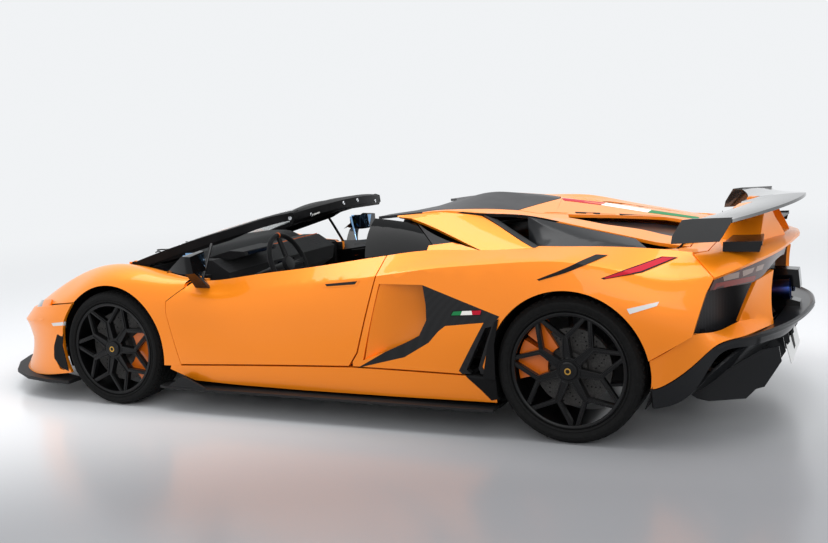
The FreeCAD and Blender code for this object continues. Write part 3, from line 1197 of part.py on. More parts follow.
# Pieces of the one body, each cut back to the face of the piece that it seats on
SEATED = [
    ("tail_lamps", ("rear_quarters",)),
    ("frames", ("tub", "diffuser")),
    ("tub", ("side_skirts", "wheel_liners", "roof_deck")),
    ("dashboard", ("wheel_liners",)),
    ("buttresses", ("rear_quarters", "roof_deck")),
    ("seats", ("dashboard",)),
    ("rear_grille", ("tail_lamps", "exhaust", "tail_deck", "exhaust_surround", "rear_bumper", "rear_quarters")),
    ("suspension", ("tub", "frames")),
    ("wing_pylons", ("tail_deck", "wing_blade")),
    ("winglets", ("wing_pylons", "tail_deck")),
    ("deck_vents", ("buttresses",)),
    ("rear_side_glass", ("buttresses", "rear_quarters")),
    ("side_glass_trim", ("buttresses", "rear_quarters", "rear_side_glass")),
    ("headlamps", ("front_bumper", "front_fenders")),
    ("windscreen_frame", ("front_fenders",)),
    ("windscreen", ("windscreen_frame",)),
    ("tail_deck", ("rear_quarters", "tail_lamps")),
    ("deck_vents", ("rear_quarters", "tail_deck", "wheel_liners")),
    ("exhaust_surround", ("exhaust",)),
    ("plate_hanger", ("diffuser",)),
    ("sill_panels", ("front_fenders",)),
    ("cowl", ("windscreen_frame",)),
    ("side_blades", ("rear_quarters",)),
    ("rear_bumper", ("tail_lamps", "rear_quarters")),
    ("diffuser", ("exhaust", "rear_bumper", "exhaust_surround")),
    ("number_plate", ("diffuser", "plate_hanger")),
    ("wheel_liners", ("diffuser",)),
]
for name, others in SEATED:
    seated = nodes[name].Shape
    for other in others:
        seated = seated.cut(nodes[other].Shape)
    nodes[name].Shape = seated

doc.recompute()
os.makedirs("parts", exist_ok=True)
for name, feature in nodes.items():
    if "Invalid" in feature.State or "Error" in feature.State:
        raise RuntimeError("not built: " + name)
    shape = feature.Shape
    if shape.isNull() or not shape.isValid():
        print("check", name, "null" if shape.isNull() else "invalid")
        raise RuntimeError("bad shape: " + name)
for name, feature in nodes.items():
    feature.Shape.exportStep("parts/%s.step" % name)
print(len(nodes), "nodes")
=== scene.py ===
"""Looks of an open-top mid-engined sports car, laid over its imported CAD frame."""

import json
import math
import bmesh
import bpy
from bpy.props import FloatProperty, FloatVectorProperty, IntProperty, PointerProperty
from mathutils import Matrix, Vector
from mathutils.bvhtree import BVHTree


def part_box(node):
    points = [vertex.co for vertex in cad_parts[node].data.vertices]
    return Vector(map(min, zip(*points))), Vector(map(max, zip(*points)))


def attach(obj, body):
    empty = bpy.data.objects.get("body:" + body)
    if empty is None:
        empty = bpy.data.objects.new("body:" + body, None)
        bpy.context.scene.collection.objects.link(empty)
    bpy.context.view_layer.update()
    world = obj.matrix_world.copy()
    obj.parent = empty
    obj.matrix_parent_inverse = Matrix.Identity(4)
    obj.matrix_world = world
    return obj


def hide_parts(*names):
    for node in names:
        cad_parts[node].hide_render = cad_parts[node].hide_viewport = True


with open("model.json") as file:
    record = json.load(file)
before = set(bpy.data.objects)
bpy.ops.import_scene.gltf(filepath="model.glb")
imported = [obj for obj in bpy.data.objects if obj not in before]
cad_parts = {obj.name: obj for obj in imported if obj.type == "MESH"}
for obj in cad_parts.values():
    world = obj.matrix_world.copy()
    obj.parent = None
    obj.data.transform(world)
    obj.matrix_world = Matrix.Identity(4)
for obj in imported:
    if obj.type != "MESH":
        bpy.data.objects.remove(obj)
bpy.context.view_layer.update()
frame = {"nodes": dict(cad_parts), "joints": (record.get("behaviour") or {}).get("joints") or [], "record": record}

bl_info = {
    "name": "Open-top sports car looks",
    "version": (1, 1, 0),
    "blender": (4, 5, 0),
    "location": "View3D > Sidebar > Car",
    "description": "Materials, fine pieces and studio for the packed sports car",
    "category": "Object",
}

JOINTS = {joint["name"]: joint for joint in frame["joints"]}
BODY_OF_NODE = {
    node: body for body, nodes in frame["record"]["behaviour"]["bodies"].items() for node in nodes
}
SLOT_OF_NODE = {part["node"]: part["material_slot"] for part in frame["record"]["subparts"]}
# Places that are given through at() are measured from the middle of the wheelbase
FRONT_AXLE_X = JOINTS["roll_front_left"]["pos_m"][0]
REAR_AXLE_X = JOINTS["roll_rear_left"]["pos_m"][0]
MIDDLE_X = (FRONT_AXLE_X + REAR_AXLE_X) / 2


def at(x, y, z):
    """A point given from the middle of the wheelbase, on the ground, in metres."""
    return Vector((MIDDLE_X + x, y, z))


def linear(hex_colour, alpha=1.0):
    """An sRGB hex colour such as #F5821F as linear RGBA."""
    channels = []
    for start in (1, 3, 5):
        value = int(hex_colour[start:start + 2], 16) / 255.0
        channels.append(value / 12.92 if value <= 0.04045 else ((value + 0.055) / 1.055) ** 2.4)
    return (*channels, alpha)


def add_node(tree, kind, inputs=None, links=None, **settings):
    """Adds one shader node with its settings, its input values and its incoming links."""
    node = tree.nodes.new("ShaderNode" + kind)
    for name, value in settings.items():
        setattr(node, name, value)
    for name, value in (inputs or {}).items():
        node.inputs[name].default_value = value
    for name, socket in (links or {}).items():
        tree.links.new(socket, node.inputs[name])
    return node


# Short names of the shader's sockets, as the finishes below give them
SOCKETS = {
    "base": "Base Color", "metal": "Metallic", "rough": "Roughness", "gloss": "Specular IOR Level",
    "coat": "Coat Weight", "coat_rough": "Coat Roughness", "coat_ior": "Coat IOR", "sheen": "Sheen Weight",
    "sheen_rough": "Sheen Roughness", "clear": "Transmission Weight", "ior": "IOR", "alpha": "Alpha",
}


def surface(name, build=None, **values):
    """A Principled material; build may add the nodes that feed its sockets."""
    if name in bpy.data.materials:
        return bpy.data.materials[name]
    material = bpy.data.materials.new(name)
    material.use_nodes = True
    tree = material.node_tree
    shader = tree.nodes["Principled BSDF"]
    for key, value in values.items():
        shader.inputs[SOCKETS[key]].default_value = linear(value) if isinstance(value, str) else value
    if build:
        build(tree, shader)
    return material


def noise_bump(scale_mm, depth, strength=1.0, detail=2.0):
    """Feeds the normal with a fine grain whose size is given in millimetres."""
    def build(tree, shader):
        place = add_node(tree, "TexCoord")
        grain = add_node(tree, "TexNoise", {"Scale": 1000.0 / scale_mm, "Detail": detail},
                         {"Vector": place.outputs["Object"]})
        bump = add_node(tree, "Bump", {"Strength": strength, "Distance": depth},
                        {"Height": grain.outputs["Fac"]})
        tree.links.new(bump.outputs["Normal"], shader.inputs["Normal"])
    return build


def mottled(light, dark, scale_mm, bump_depth=0.0):
    """Feeds the colour with two near tones that drift over the given size, and may add a grain."""
    def build(tree, shader):
        place = add_node(tree, "TexCoord")
        drift = add_node(tree, "TexNoise", {"Scale": 1000.0 / scale_mm, "Detail": 3.0},
                         {"Vector": place.outputs["Object"]})
        tones = add_node(tree, "ValToRGB", links={"Fac": drift.outputs["Fac"]})
        for stop, share, tone in zip(tones.color_ramp.elements, (0.35, 0.65), (dark, light)):
            stop.position = share
            stop.color = linear(tone)
        tree.links.new(tones.outputs["Color"], shader.inputs["Base Color"])
        if bump_depth:
            bump = add_node(tree, "Bump", {"Strength": 0.5, "Distance": bump_depth},
                            {"Height": drift.outputs["Fac"]})
            tree.links.new(bump.outputs["Normal"], shader.inputs["Normal"])
    return build


def base_with_painted_sheen(light, dark, flake_mm):
    """A base coat with a painted sheen: its colour is painted lighter and yellower where the surface turns away
    from the view, with a fine flake in its gloss.
    """
    def build(tree, shader):
        # Painted sheen: the colour runs from the dark tone, where the surface faces the view, to the light tone,
        # where it turns away
        painted_sheen_share = add_node(tree, "LayerWeight", {"Blend": 0.35})
        tones = add_node(tree, "ValToRGB", links={"Fac": painted_sheen_share.outputs["Facing"]})
        for stop, share, tone in zip(tones.color_ramp.elements, (0.0, 0.9), (dark, light)):
            stop.position = share
            stop.color = linear(tone)
        tree.links.new(tones.outputs["Color"], shader.inputs["Base Color"])
        place = add_node(tree, "TexCoord")
        flake = add_node(tree, "TexNoise", {"Scale": 1000.0 / flake_mm, "Detail": 1.0},
                         {"Vector": place.outputs["Object"]})
        spread = add_node(tree, "MapRange", {"To Min": 0.34, "To Max": 0.46},
                          {"Value": flake.outputs["Fac"]})
        tree.links.new(spread.outputs["Result"], shader.inputs["Roughness"])
    return build


def carbon_weave(thread_mm, light, dark):
    """A weave drawn as a fine check, turned so that it crosses flat and upright faces alike."""
    def build(tree, shader):
        place = add_node(tree, "TexCoord")
        turned = add_node(tree, "Mapping", {"Rotation": (math.radians(35), 0.0, math.radians(45))},
                          {"Vector": place.outputs["Object"]})
        check = add_node(tree, "TexChecker",
                         {"Scale": 1000.0 / thread_mm, "Color1": linear(light), "Color2": linear(dark)},
                         {"Vector": turned.outputs["Vector"]})
        tree.links.new(check.outputs["Color"], shader.inputs["Base Color"])
    return build


def pearl_lacquer_with_painted_sheen():
    # Sprayed lacquer over a pearl base coat: a deep, wet orange, with a painted sheen that makes it yellower where
    # it turns away
    return surface("pearl orange lacquer with painted sheen", base_with_painted_sheen("#FF9614", "#FA8709", 3.0), metal=0.35, rough=0.38,
                   gloss=0.3, coat=0.55, coat_rough=0.04, coat_ior=1.5)


def gloss_black_lacquer():
    # Black lacquer on moulded composite: near black with clear, hard reflections
    return surface("gloss black lacquer", mottled("#0B0B0C", "#070708", 60.0), rough=0.14, gloss=0.25,
                   coat=0.2, coat_rough=0.05)


def satin_roof_panel():
    # Black composite panel, lacquered satin: a dark grey from above, with a broad, soft glow
    return surface("satin roof panel", mottled("#2B2A2C", "#222123", 80.0), rough=0.42, gloss=0.25)


def polished_black_composite():
    # Black composite under thick, polished lacquer: it mirrors the room when seen from low down
    return surface("polished black composite", mottled("#101011", "#0B0B0C", 60.0), rough=0.2, gloss=0.5,
                   coat=0.9, coat_rough=0.04)


def dull_black_panel():
    # Black composite with a dulled lacquer: dark from every side, with only a soft glow of the room
    return surface("dulled black composite", mottled("#161617", "#111112", 80.0), rough=0.5, gloss=0.08)


def honeycomb_mesh():
    # Pressed mesh over a dark duct: fine satin ribs with black holes about 11 mm across between them
    def cells(tree, shader):
        place = add_node(tree, "TexCoord")
        turned = add_node(tree, "Mapping", {"Rotation": (0.785, 0.0, 0.0)},
                          {"Vector": place.outputs["Object"]})
        holes = add_node(tree, "TexVoronoi", {"Scale": 90.0, "Randomness": 0.0},
                         {"Vector": turned.outputs["Vector"]}, feature="DISTANCE_TO_EDGE")
        share = add_node(tree, "MapRange", {"From Min": 0.10, "From Max": 0.16},
                         {"Value": holes.outputs["Distance"]})
        tone = add_node(tree, "Mix", {6: linear("#26272A"), 7: linear("#050505")},
                        {0: share.outputs["Result"]}, data_type="RGBA")
        tree.links.new(tone.outputs[2], shader.inputs["Base Color"])
    return surface("pressed mesh", cells, rough=0.4, gloss=0.3)


def satin_carbon_composite():
    # Twill carbon in a satin resin: a dark warm grey whose weave only just shows (drawn 4 mm wide)
    return surface("satin carbon composite", carbon_weave(4.0, "#262627", "#1E1E1F"), rough=0.5, gloss=0.14,
                   coat=0.02, coat_rough=0.3)


def gloss_carbon_composite():
    # Twill carbon under clear lacquer: dark, with a hard reflection over the weave
    return surface("lacquered carbon composite", carbon_weave(4.0, "#1C1D1F", "#141517"), rough=0.3,
                   gloss=0.18, coat=0.12, coat_rough=0.06)


def moulded_black_abs():
    # Moulded ABS with a fine spark-eroded grain (drawn at 1.5 mm): dull, near black
    return surface("moulded black ABS", noise_bump(1.5, 0.0002, 0.4), base="#101011", rough=0.62, gloss=0.12)


def laminated_screen_glass():
    # Laminated glass with a faint grey body: clear, with a hard surface reflection
    return surface("laminated screen glass", base="#B9C2C0", rough=0.02, clear=1.0, ior=1.45, alpha=0.45)


def privacy_glass():
    # Body-tinted glass: near black, and reflects like polished stone
    return surface("privacy glass", mottled("#0D0E0F", "#08090A", 300.0), rough=0.05, gloss=0.07)


def mirror_glass():
    # Silvered glass with a blue anti-glare coat: a cool, clear mirror
    return surface("silvered mirror glass", base="#7FA6CC", metal=1.0, rough=0.06)


def satin_black_wheel_paint():
    # Powder coat on a forged alloy wheel: black with a soft sheen on its edges
    return surface("satin black wheel paint", mottled("#0E0E0F", "#0A0A0B", 30.0), rough=0.3, gloss=0.2,
                   coat=0.06, coat_rough=0.12)


def tyre_rubber():
    # Filled rubber, moulded: dark grey, dull, with a slight sheen at the shoulder
    return surface("tyre rubber", mottled("#151515", "#0F0F0F", 12.0, 0.0002), rough=0.68, gloss=0.12)


def carbon_ceramic():
    # Carbon-ceramic rotor, ground: mid grey flecks with a dull metallic glint
    return surface("carbon-ceramic", mottled("#4A4846", "#343332", 6.0), metal=0.35, rough=0.5)


def orange_caliper_enamel():
    # Baked enamel on a cast caliper: saturated orange, glossy
    return surface("orange caliper enamel", noise_bump(6.0, 0.0003, 0.3), base="#E06C10", rough=0.32, coat=0.3)


def bare_cast_alloy():
    # Sand-cast aluminium: grey and dull
    return surface("cast aluminium", noise_bump(3.0, 0.0003, 0.3), base="#6E7072", metal=0.9, rough=0.5)


def painted_steel():
    # Epoxy-painted steel arms: dark grey, satin
    return surface("epoxy-painted steel", noise_bump(4.0, 0.0002, 0.3), base="#232426", metal=0.2, rough=0.45)


def blued_steel():
    # Stainless steel tinted by heat: blue, violet and straw bands along the pipe
    def tint(tree, shader):
        low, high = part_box("exhaust")
        place = add_node(tree, "TexCoord")
        along = add_node(tree, "SeparateXYZ", links={"Vector": place.outputs["Object"]})
        reach = add_node(tree, "MapRange", {"From Min": low.x, "From Max": high.x},
                         {"Value": along.outputs["X"]})
        bands = add_node(tree, "ValToRGB", links={"Fac": reach.outputs["Result"]})
        ramp = bands.color_ramp
        ramp.elements[0].color = linear("#2E4A8C")
        ramp.elements[1].color = linear("#8A6B3A")
        ramp.elements.new(0.35).color = linear("#4A3A6A")
        tree.links.new(bands.outputs["Color"], shader.inputs["Base Color"])
    return surface("heat-tinted stainless steel", tint, metal=1.0, rough=0.24)


def black_suede():
    # Microfibre suede over foam: very dark, with a soft edge sheen
    return surface("black microfibre suede", noise_bump(2.0, 0.0003, 0.6), base="#131315", rough=0.92,
                   gloss=0.25, sheen=0.12, sheen_rough=0.4)


def black_leather():
    # Full-grain leather, embossed: black, with a low sheen over a pebbled grain of about 3 mm
    return surface("black leather", noise_bump(3.0, 0.0004, 0.7, 4.0), base="#121213", rough=0.5, gloss=0.35)


def orange_thread():
    # Twisted polyester thread and piping: matt orange
    return surface("orange thread", noise_bump(1.0, 0.0002), base="#D9600F", rough=0.7)


def smoked_lamp_lens():
    # Moulded acrylic, smoked over red reflectors: dull wine red going dark
    return surface("smoked acrylic lens", mottled("#563632", "#3C2422", 90.0), rough=0.12, coat=0.4,
                   coat_rough=0.05)


def pale_lamp_reflector():
    # Vacuum-metallised reflector under clear acrylic: pale warm grey
    return surface("metallised reflector", noise_bump(4.0, 0.0004, 0.5), base="#94827A", metal=0.3, rough=0.25,
                   coat=0.4)


def ruby_lamp_reflector():
    # Ribbed ruby acrylic behind the smoked cover: a dull red glow
    return surface("ruby acrylic reflector", noise_bump(5.0, 0.0004, 0.6), base="#7C2A22", rough=0.25, coat=0.5)


def clear_lamp_lens():
    # Polycarbonate cover over a dark lamp: grey and glossy
    return surface("polycarbonate lens", base="#50555A", rough=0.06, coat=0.5)


def white_marker_lens():
    # Opal acrylic marker lamp: milky white, ribbed inside
    return surface("opal acrylic", noise_bump(5.0, 0.0002, 0.4), base="#D8D6D2", rough=0.25, coat=0.4)


def plate_white():
    # Blank reflective sheeting on aluminium: white with a fine bead
    return surface("white plate sheeting", noise_bump(1.0, 0.0001, 0.4), base="#DEDEDC", rough=0.35)


def brushed_brass():
    # Brushed brass centre ring: warm gold with a fine grain
    return surface("brushed brass", noise_bump(1.0, 0.0001, 0.5), base="#C79A4A", metal=1.0, rough=0.3)


def polished_steel():
    # Polished stainless steel: bright and clear
    return surface("polished stainless steel", base="#B9BBBE", metal=1.0, rough=0.16)


def display_glass():
    # Cover glass over a dark screen: black with a faint blue cast
    return surface("display glass", base="#0C1420", rough=0.06)


FILM_COLOURS = {"red": "#B5122A", "white": "#E9E6E0", "green": "#1F7A45", "black": "#101011"}


def film(tone):
    # Cast vinyl film, laid flat on the lacquer: even colour with a low gloss
    return surface("vinyl film " + tone, noise_bump(2.0, 0.00005, 0.2), base=FILM_COLOURS[tone], rough=0.45,
                   gloss=0.15)


FINISH_OF_SLOT = {
    "body_paint": pearl_lacquer_with_painted_sheen,
    "gloss_black": gloss_black_lacquer,
    "black_plastic": moulded_black_abs,
    "screen_glass": laminated_screen_glass,
    "dark_glass": privacy_glass,
    "lamp_red": smoked_lamp_lens,
    "lamp_clear": clear_lamp_lens,
    "exhaust_steel": blued_steel,
    "frame_alloy": painted_steel,
    "interior_leather": black_suede,
    "engine_metal": bare_cast_alloy,
    "suspension_steel": painted_steel,
    "caliper_paint": orange_caliper_enamel,
    "tyre_rubber": tyre_rubber,
    "rim_black": satin_black_wheel_paint,
    "brake_disc": carbon_ceramic,
    "plate_white": plate_white,
}
# Pieces whose finish differs from the rest of their slot
FINISH_OF_NODE = {
    "roof_deck": satin_roof_panel,
    "wing_blade": polished_black_composite,
    "windscreen_frame": dull_black_panel,
    "side_blades": satin_carbon_composite,
    "side_skirts": satin_carbon_composite,
    "front_splitter": satin_carbon_composite,
    "diffuser": gloss_carbon_composite,
    "deck_vents": gloss_carbon_composite,
    "winglets": gloss_carbon_composite,
    "side_glass_trim": satin_carbon_composite,
    "rear_grille": honeycomb_mesh,
    "front_grilles": honeycomb_mesh,
}
# Faces of panels and lamps that don't have their slot's finish: the panels, the finish of these faces, its
# reach along the car, and a test of the face's lean out of the car and upwards
LINED_FACES = (
    (("door_left", "door_right"), black_leather, (-1.0, 1.0), lambda out, up: out < -0.2),
    (("front_fenders",), moulded_black_abs, (0.5, 3.0), lambda out, up: up < -0.2 or out < -0.5),
    (("bonnet",), moulded_black_abs, (0.5, 3.0), lambda out, up: up < -0.2),
    (("rear_quarters",), moulded_black_abs, (-1.0, -0.45), lambda out, up: out < -0.3),
    (("headlamps",), pearl_lacquer_with_painted_sheen, (1.0, 1.90), lambda out, up: out > 0.2),
    (("rear_quarters",), moulded_black_abs, (-1.15, -1.00), lambda out, up: out < 0.5 and up < 0.3),
    (("sill_panels",), moulded_black_abs, (-1.20, -1.02), lambda out, up: out < 0.5),
    (("buttresses",), moulded_black_abs, (-1.3, -0.75), lambda out, up: out > 0.8 and abs(up) < 0.3),
)
# Outer panels that get a smooth copy, with the width in millimetres of their softened edges
SOFTENED_EDGES = {
    "front_bumper": 1.5, "bonnet": 1.5, "front_fenders": 1.5, "door_left": 1.5, "door_right": 1.5,
    "sill_panels": 1.5, "rear_quarters": 1.5, "engine_cover": 2.0, "buttresses": 2.0, "tail_deck": 2.0,
    "rear_bumper": 2.0, "wing_pylons": 2.0, "wing_blade": 1.5, "winglets": 1.5, "deck_vents": 1.5,
    "roof_deck": 2.0, "windscreen_frame": 1.5, "mirror_left": 2.0, "mirror_right": 2.0, "side_blades": 2.0,
    "side_skirts": 2.0, "front_splitter": 2.0, "diffuser": 2.0, "headlamps": 1.0, "tail_lamps": 1.0,
    "rear_side_glass": 1.0, "side_glass_trim": 1.5, "cowl": 1.0, "exhaust": 0.0, "exhaust_surround": 2.0,
    "dashboard": 4.0, "windscreen": 0.0, "caliper_front_left": 3.0, "caliper_front_right": 3.0,
    "rear_calipers": 3.0, "number_plate": 1.0, "plate_hanger": 1.0, "steering_wheel": 0.0,
}

# The photograph's size in pixels, and the camera that took it, solved from the wheelbase and the near tyres
IMAGE_WIDTH = 828
IMAGE_HEIGHT = 543
CAMERA_PLACE = at(-2.7276, 5.7557, 1.5882)
CAMERA_RIGHT = Vector((-0.91324286, -0.40460911, -0.04773837))
CAMERA_UP = Vector((0.01622786, -0.15320565, 0.98806107))
# The car's distance from the camera, for a line of sight that only just misses a panel
CAMERA_DISTANCE = 5.5
CAMERA_LENS_MM = 46.57
SENSOR_MM = 36.0


def sight(column, row):
    """The direction in which the photograph's camera sees this pixel."""
    reach = CAMERA_LENS_MM / SENSOR_MM * IMAGE_WIDTH
    back = CAMERA_RIGHT.cross(CAMERA_UP)
    return (CAMERA_RIGHT * (column - IMAGE_WIDTH / 2) / reach + CAMERA_UP * (IMAGE_HEIGHT / 2 - row) / reach
            - back).normalized()


def faces_of(*nodes):
    """The CAD faces of these nodes, for laying a thin piece on them."""
    shape = bmesh.new()
    for node in nodes:
        shape.from_mesh(frame["nodes"][node].data)
    tree = BVHTree.FromBMesh(shape)
    shape.free()
    return tree


def merged_copy(node):
    """A copy of a CAD node's mesh with its loose triangles joined."""
    shape = bmesh.new()
    shape.from_mesh(frame["nodes"][node].data)
    bmesh.ops.remove_doubles(shape, verts=shape.verts, dist=0.00002)
    return shape


def make_piece(name, shape, material, body, sharp_degrees=35.0, slot=None):
    """Turns a finished bmesh into a piece that rides on a CAD body."""
    mesh = bpy.data.meshes.new(name)
    shape.to_mesh(mesh)
    shape.free()
    mesh.polygons.foreach_set("use_smooth", [True] * len(mesh.polygons))
    mesh.set_sharp_from_angle(angle=math.radians(sharp_degrees))
    piece = bpy.data.objects.new(name, mesh)
    bpy.context.scene.collection.objects.link(piece)
    mesh.materials.append(material)
    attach(piece, body)
    return piece


def softened(piece, width_mm, segments, least_degrees):
    """Rounds a piece's edges where its faces meet at more than the least angle."""
    edges = piece.modifiers.new("softened edges", "BEVEL")
    edges.width = width_mm / 1000
    edges.segments = segments
    edges.limit_method = "ANGLE"
    edges.angle_limit = math.radians(least_degrees)


def joined(shape):
    """Merges doubled points and turns the faces outwards."""
    bmesh.ops.remove_doubles(shape, verts=shape.verts, dist=1e-6)
    bmesh.ops.recalc_face_normals(shape, faces=shape.faces)


def mirrored_too(shape):
    """Adds the mirror image over the car's middle plane."""
    bmesh.ops.mirror(shape, geom=shape.verts[:] + shape.edges[:] + shape.faces[:], axis="Y", merge_dist=-1.0)
    bmesh.ops.recalc_face_normals(shape, faces=shape.faces)


def to_the_far_side(shape):
    """Turns a shape made on the near side into its mirror image."""
    bmesh.ops.scale(shape, vec=(1, -1, 1), verts=shape.verts)
    bmesh.ops.recalc_face_normals(shape, faces=shape.faces)


def along_line(points, share):
    """The point at this share of a run of points, each step counting the same."""
    place = share * (len(points) - 1)
    first = min(int(place), len(points) - 2)
    a, b = points[first], points[first + 1]
    return [a[k] + (b[k] - a[k]) * (place - first) for k in range(len(a))]


def laid_patch(shape, edges, cast, lift_mm, steps=(12, 2)):
    """Lays a small grid between two edges onto a surface, lifted off it by a little.

    cast takes a point between the edges and gives its place and normal on the surface.
    """
    grid = bmesh.ops.create_grid(shape, x_segments=steps[0], y_segments=steps[1], size=1.0)
    for vert in grid["verts"]:
        share, across = (vert.co.x + 1) / 2, (vert.co.y + 1) / 2
        top, bottom = along_line(edges[0], share), along_line(edges[1], share)
        mark = [a + (b - a) * across for a, b in zip(top, bottom)]
        place, normal = cast(mark)
        vert.co = place + normal * (lift_mm / 1000)


def seen_on(tree):
    """A cast that follows the photograph's line of sight through a pixel."""
    def cast(mark):
        direction = sight(mark[0], mark[1])
        place, normal, _, _ = tree.ray_cast(CAMERA_PLACE, direction)
        if place is None:
            near, normal, _, _ = tree.find_nearest(CAMERA_PLACE + direction * CAMERA_DISTANCE)
            return near, normal
        return place, normal if normal.dot(direction) < 0 else -normal
    return cast


def pushed_on(tree, direction):
    """A cast from a point of space along one direction."""
    ray = Vector(direction).normalized()

    def cast(mark):
        place, normal, _, _ = tree.ray_cast(Vector(mark), ray)
        if place is None:
            place, normal, _, _ = tree.find_nearest(Vector(mark))
        return place, normal if normal.dot(ray) < 0 else -normal
    return cast


def on_plane(through, normal):
    """A cast that follows the photograph's line of sight to a plane, for a piece across an opening."""
    through, normal = Vector(through), Vector(normal).normalized()

    def cast(mark):
        direction = sight(mark[0], mark[1])
        reach = (through - CAMERA_PLACE).dot(normal) / direction.dot(normal)
        return CAMERA_PLACE + direction * reach, normal
    return cast


def thickened(shape, thickness_mm):
    """Gives a laid patch its thickness, outwards."""
    bmesh.ops.recalc_face_normals(shape, faces=shape.faces)
    bmesh.ops.solidify(shape, geom=shape.faces[:], thickness=thickness_mm / 1000)
    bmesh.ops.recalc_face_normals(shape, faces=shape.faces)


def bar_between(shape, start, end, width, height, up=(0, 0, 1)):
    """A straight bar from start to end, width across and height along up."""
    start, end = Vector(start), Vector(end)
    run = end - start
    forward = run.normalized()
    side = Vector(up).cross(forward).normalized()
    top = forward.cross(side)
    turn = Matrix((forward, side, top)).transposed().to_4x4()
    size = Matrix.Diagonal((run.length, width, height, 1.0))
    bmesh.ops.create_cube(shape, size=1.0, matrix=Matrix.Translation((start + end) / 2) @ turn @ size)


def lathe(shape, profile, centre, axis, steps):
    """Spins a profile of (distance from axis, distance along axis) about an axis."""
    axis = Vector(axis).normalized()
    out = axis.orthogonal().normalized()
    ring = [shape.verts.new(Vector(centre) + out * r + axis * h) for r, h in profile]
    edges = [shape.edges.new((a, b)) for a, b in zip(ring, ring[1:])]
    bmesh.ops.spin(shape, geom=ring + edges, cent=Vector(centre), axis=axis, angle=math.tau, steps=steps,
                   use_merge=True)


def turned_piece(name, turns, material, body, sharp_degrees, slot, twin=False):
    """A piece of turned parts, each given by its profile, centre, axis and steps."""
    shape = bmesh.new()
    for profile, centre, axis, steps in turns:
        lathe(shape, profile, centre, axis, steps)
    joined(shape)
    if twin:
        mirrored_too(shape)
    make_piece(name, shape, material, body, sharp_degrees, slot)


def tube_along(name, points, radius_mm, material, body, slot=None, sides=8):
    """A round line through a few points, made a mesh."""
    curve = bpy.data.curves.new(name, "CURVE")
    curve.dimensions = "3D"
    line = curve.splines.new("NURBS")
    line.points.add(len(points) - 1)
    for knot, point in zip(line.points, points):
        knot.co = (*point, 1.0)
    line.order_u = 3
    line.use_endpoint_u = True
    curve.bevel_depth = radius_mm / 1000
    curve.bevel_resolution = sides // 4
    curve.use_fill_caps = True
    holder = bpy.data.objects.new(name, curve)
    bpy.context.scene.collection.objects.link(holder)
    mesh = bpy.data.meshes.new_from_object(holder)
    bpy.data.objects.remove(holder)
    shape = bmesh.new()
    shape.from_mesh(mesh)
    joined(shape)
    make_piece(name, shape, material, body, 50.0, slot)


class StudioSettings(bpy.types.PropertyGroup):
    """Sizes and colours of the studio round the car."""

    floor_colour: FloatVectorProperty(
        name="Floor colour", description="Colour of the painted studio floor", subtype="COLOR",
        size=4, default=linear("#DFE0E2"), min=0.0, max=1.0,
    )
    floor_radius: FloatProperty(
        name="Floor radius", description="How far the floor reaches", default=40.0, unit="LENGTH"
    )
    room_strength: FloatProperty(
        name="Room light", description="Strength of the even light from the white room", default=0.97
    )


class WheelSettings(bpy.types.PropertyGroup):
    """Fine sizes of the wheels and tyres."""

    rib_width: FloatProperty(
        name="Rib width", description="Width of the thin ribs on the spokes", default=0.0075, unit="LENGTH"
    )
    rib_height: FloatProperty(
        name="Rib height", description="How far the ribs stand above the spokes", default=0.007, unit="LENGTH"
    )
    groove_depth: FloatProperty(
        name="Groove depth", description="Depth of the tread grooves", default=0.006, unit="LENGTH"
    )
    sipe_rows: IntProperty(
        name="Shoulder cuts", description="Cuts round each shoulder of a tyre", default=60, min=12, max=120
    )


class TrimSettings(bpy.types.PropertyGroup):
    """Sizes of the thin films, slots and stitch lines."""

    film_lift: FloatProperty(
        name="Film lift", description="Height of a vinyl film over the paint, in millimetres", default=0.6
    )
    piping_radius: FloatProperty(
        name="Piping radius", description="Radius of the orange piping, in millimetres", default=2.5
    )


class CAR_OT_cad_finishes(bpy.types.Operator):
    """Gives every CAD piece the finish of its material slot"""

    bl_idname = "car.cad_finishes"
    bl_label = "Finishes of the CAD pieces"

    def execute(self, context):
        for node, piece in frame["nodes"].items():
            finish = FINISH_OF_NODE.get(node) or FINISH_OF_SLOT[SLOT_OF_NODE[node]]
            piece.data.materials.clear()
            piece.data.materials.append(finish())
        return {"FINISHED"}


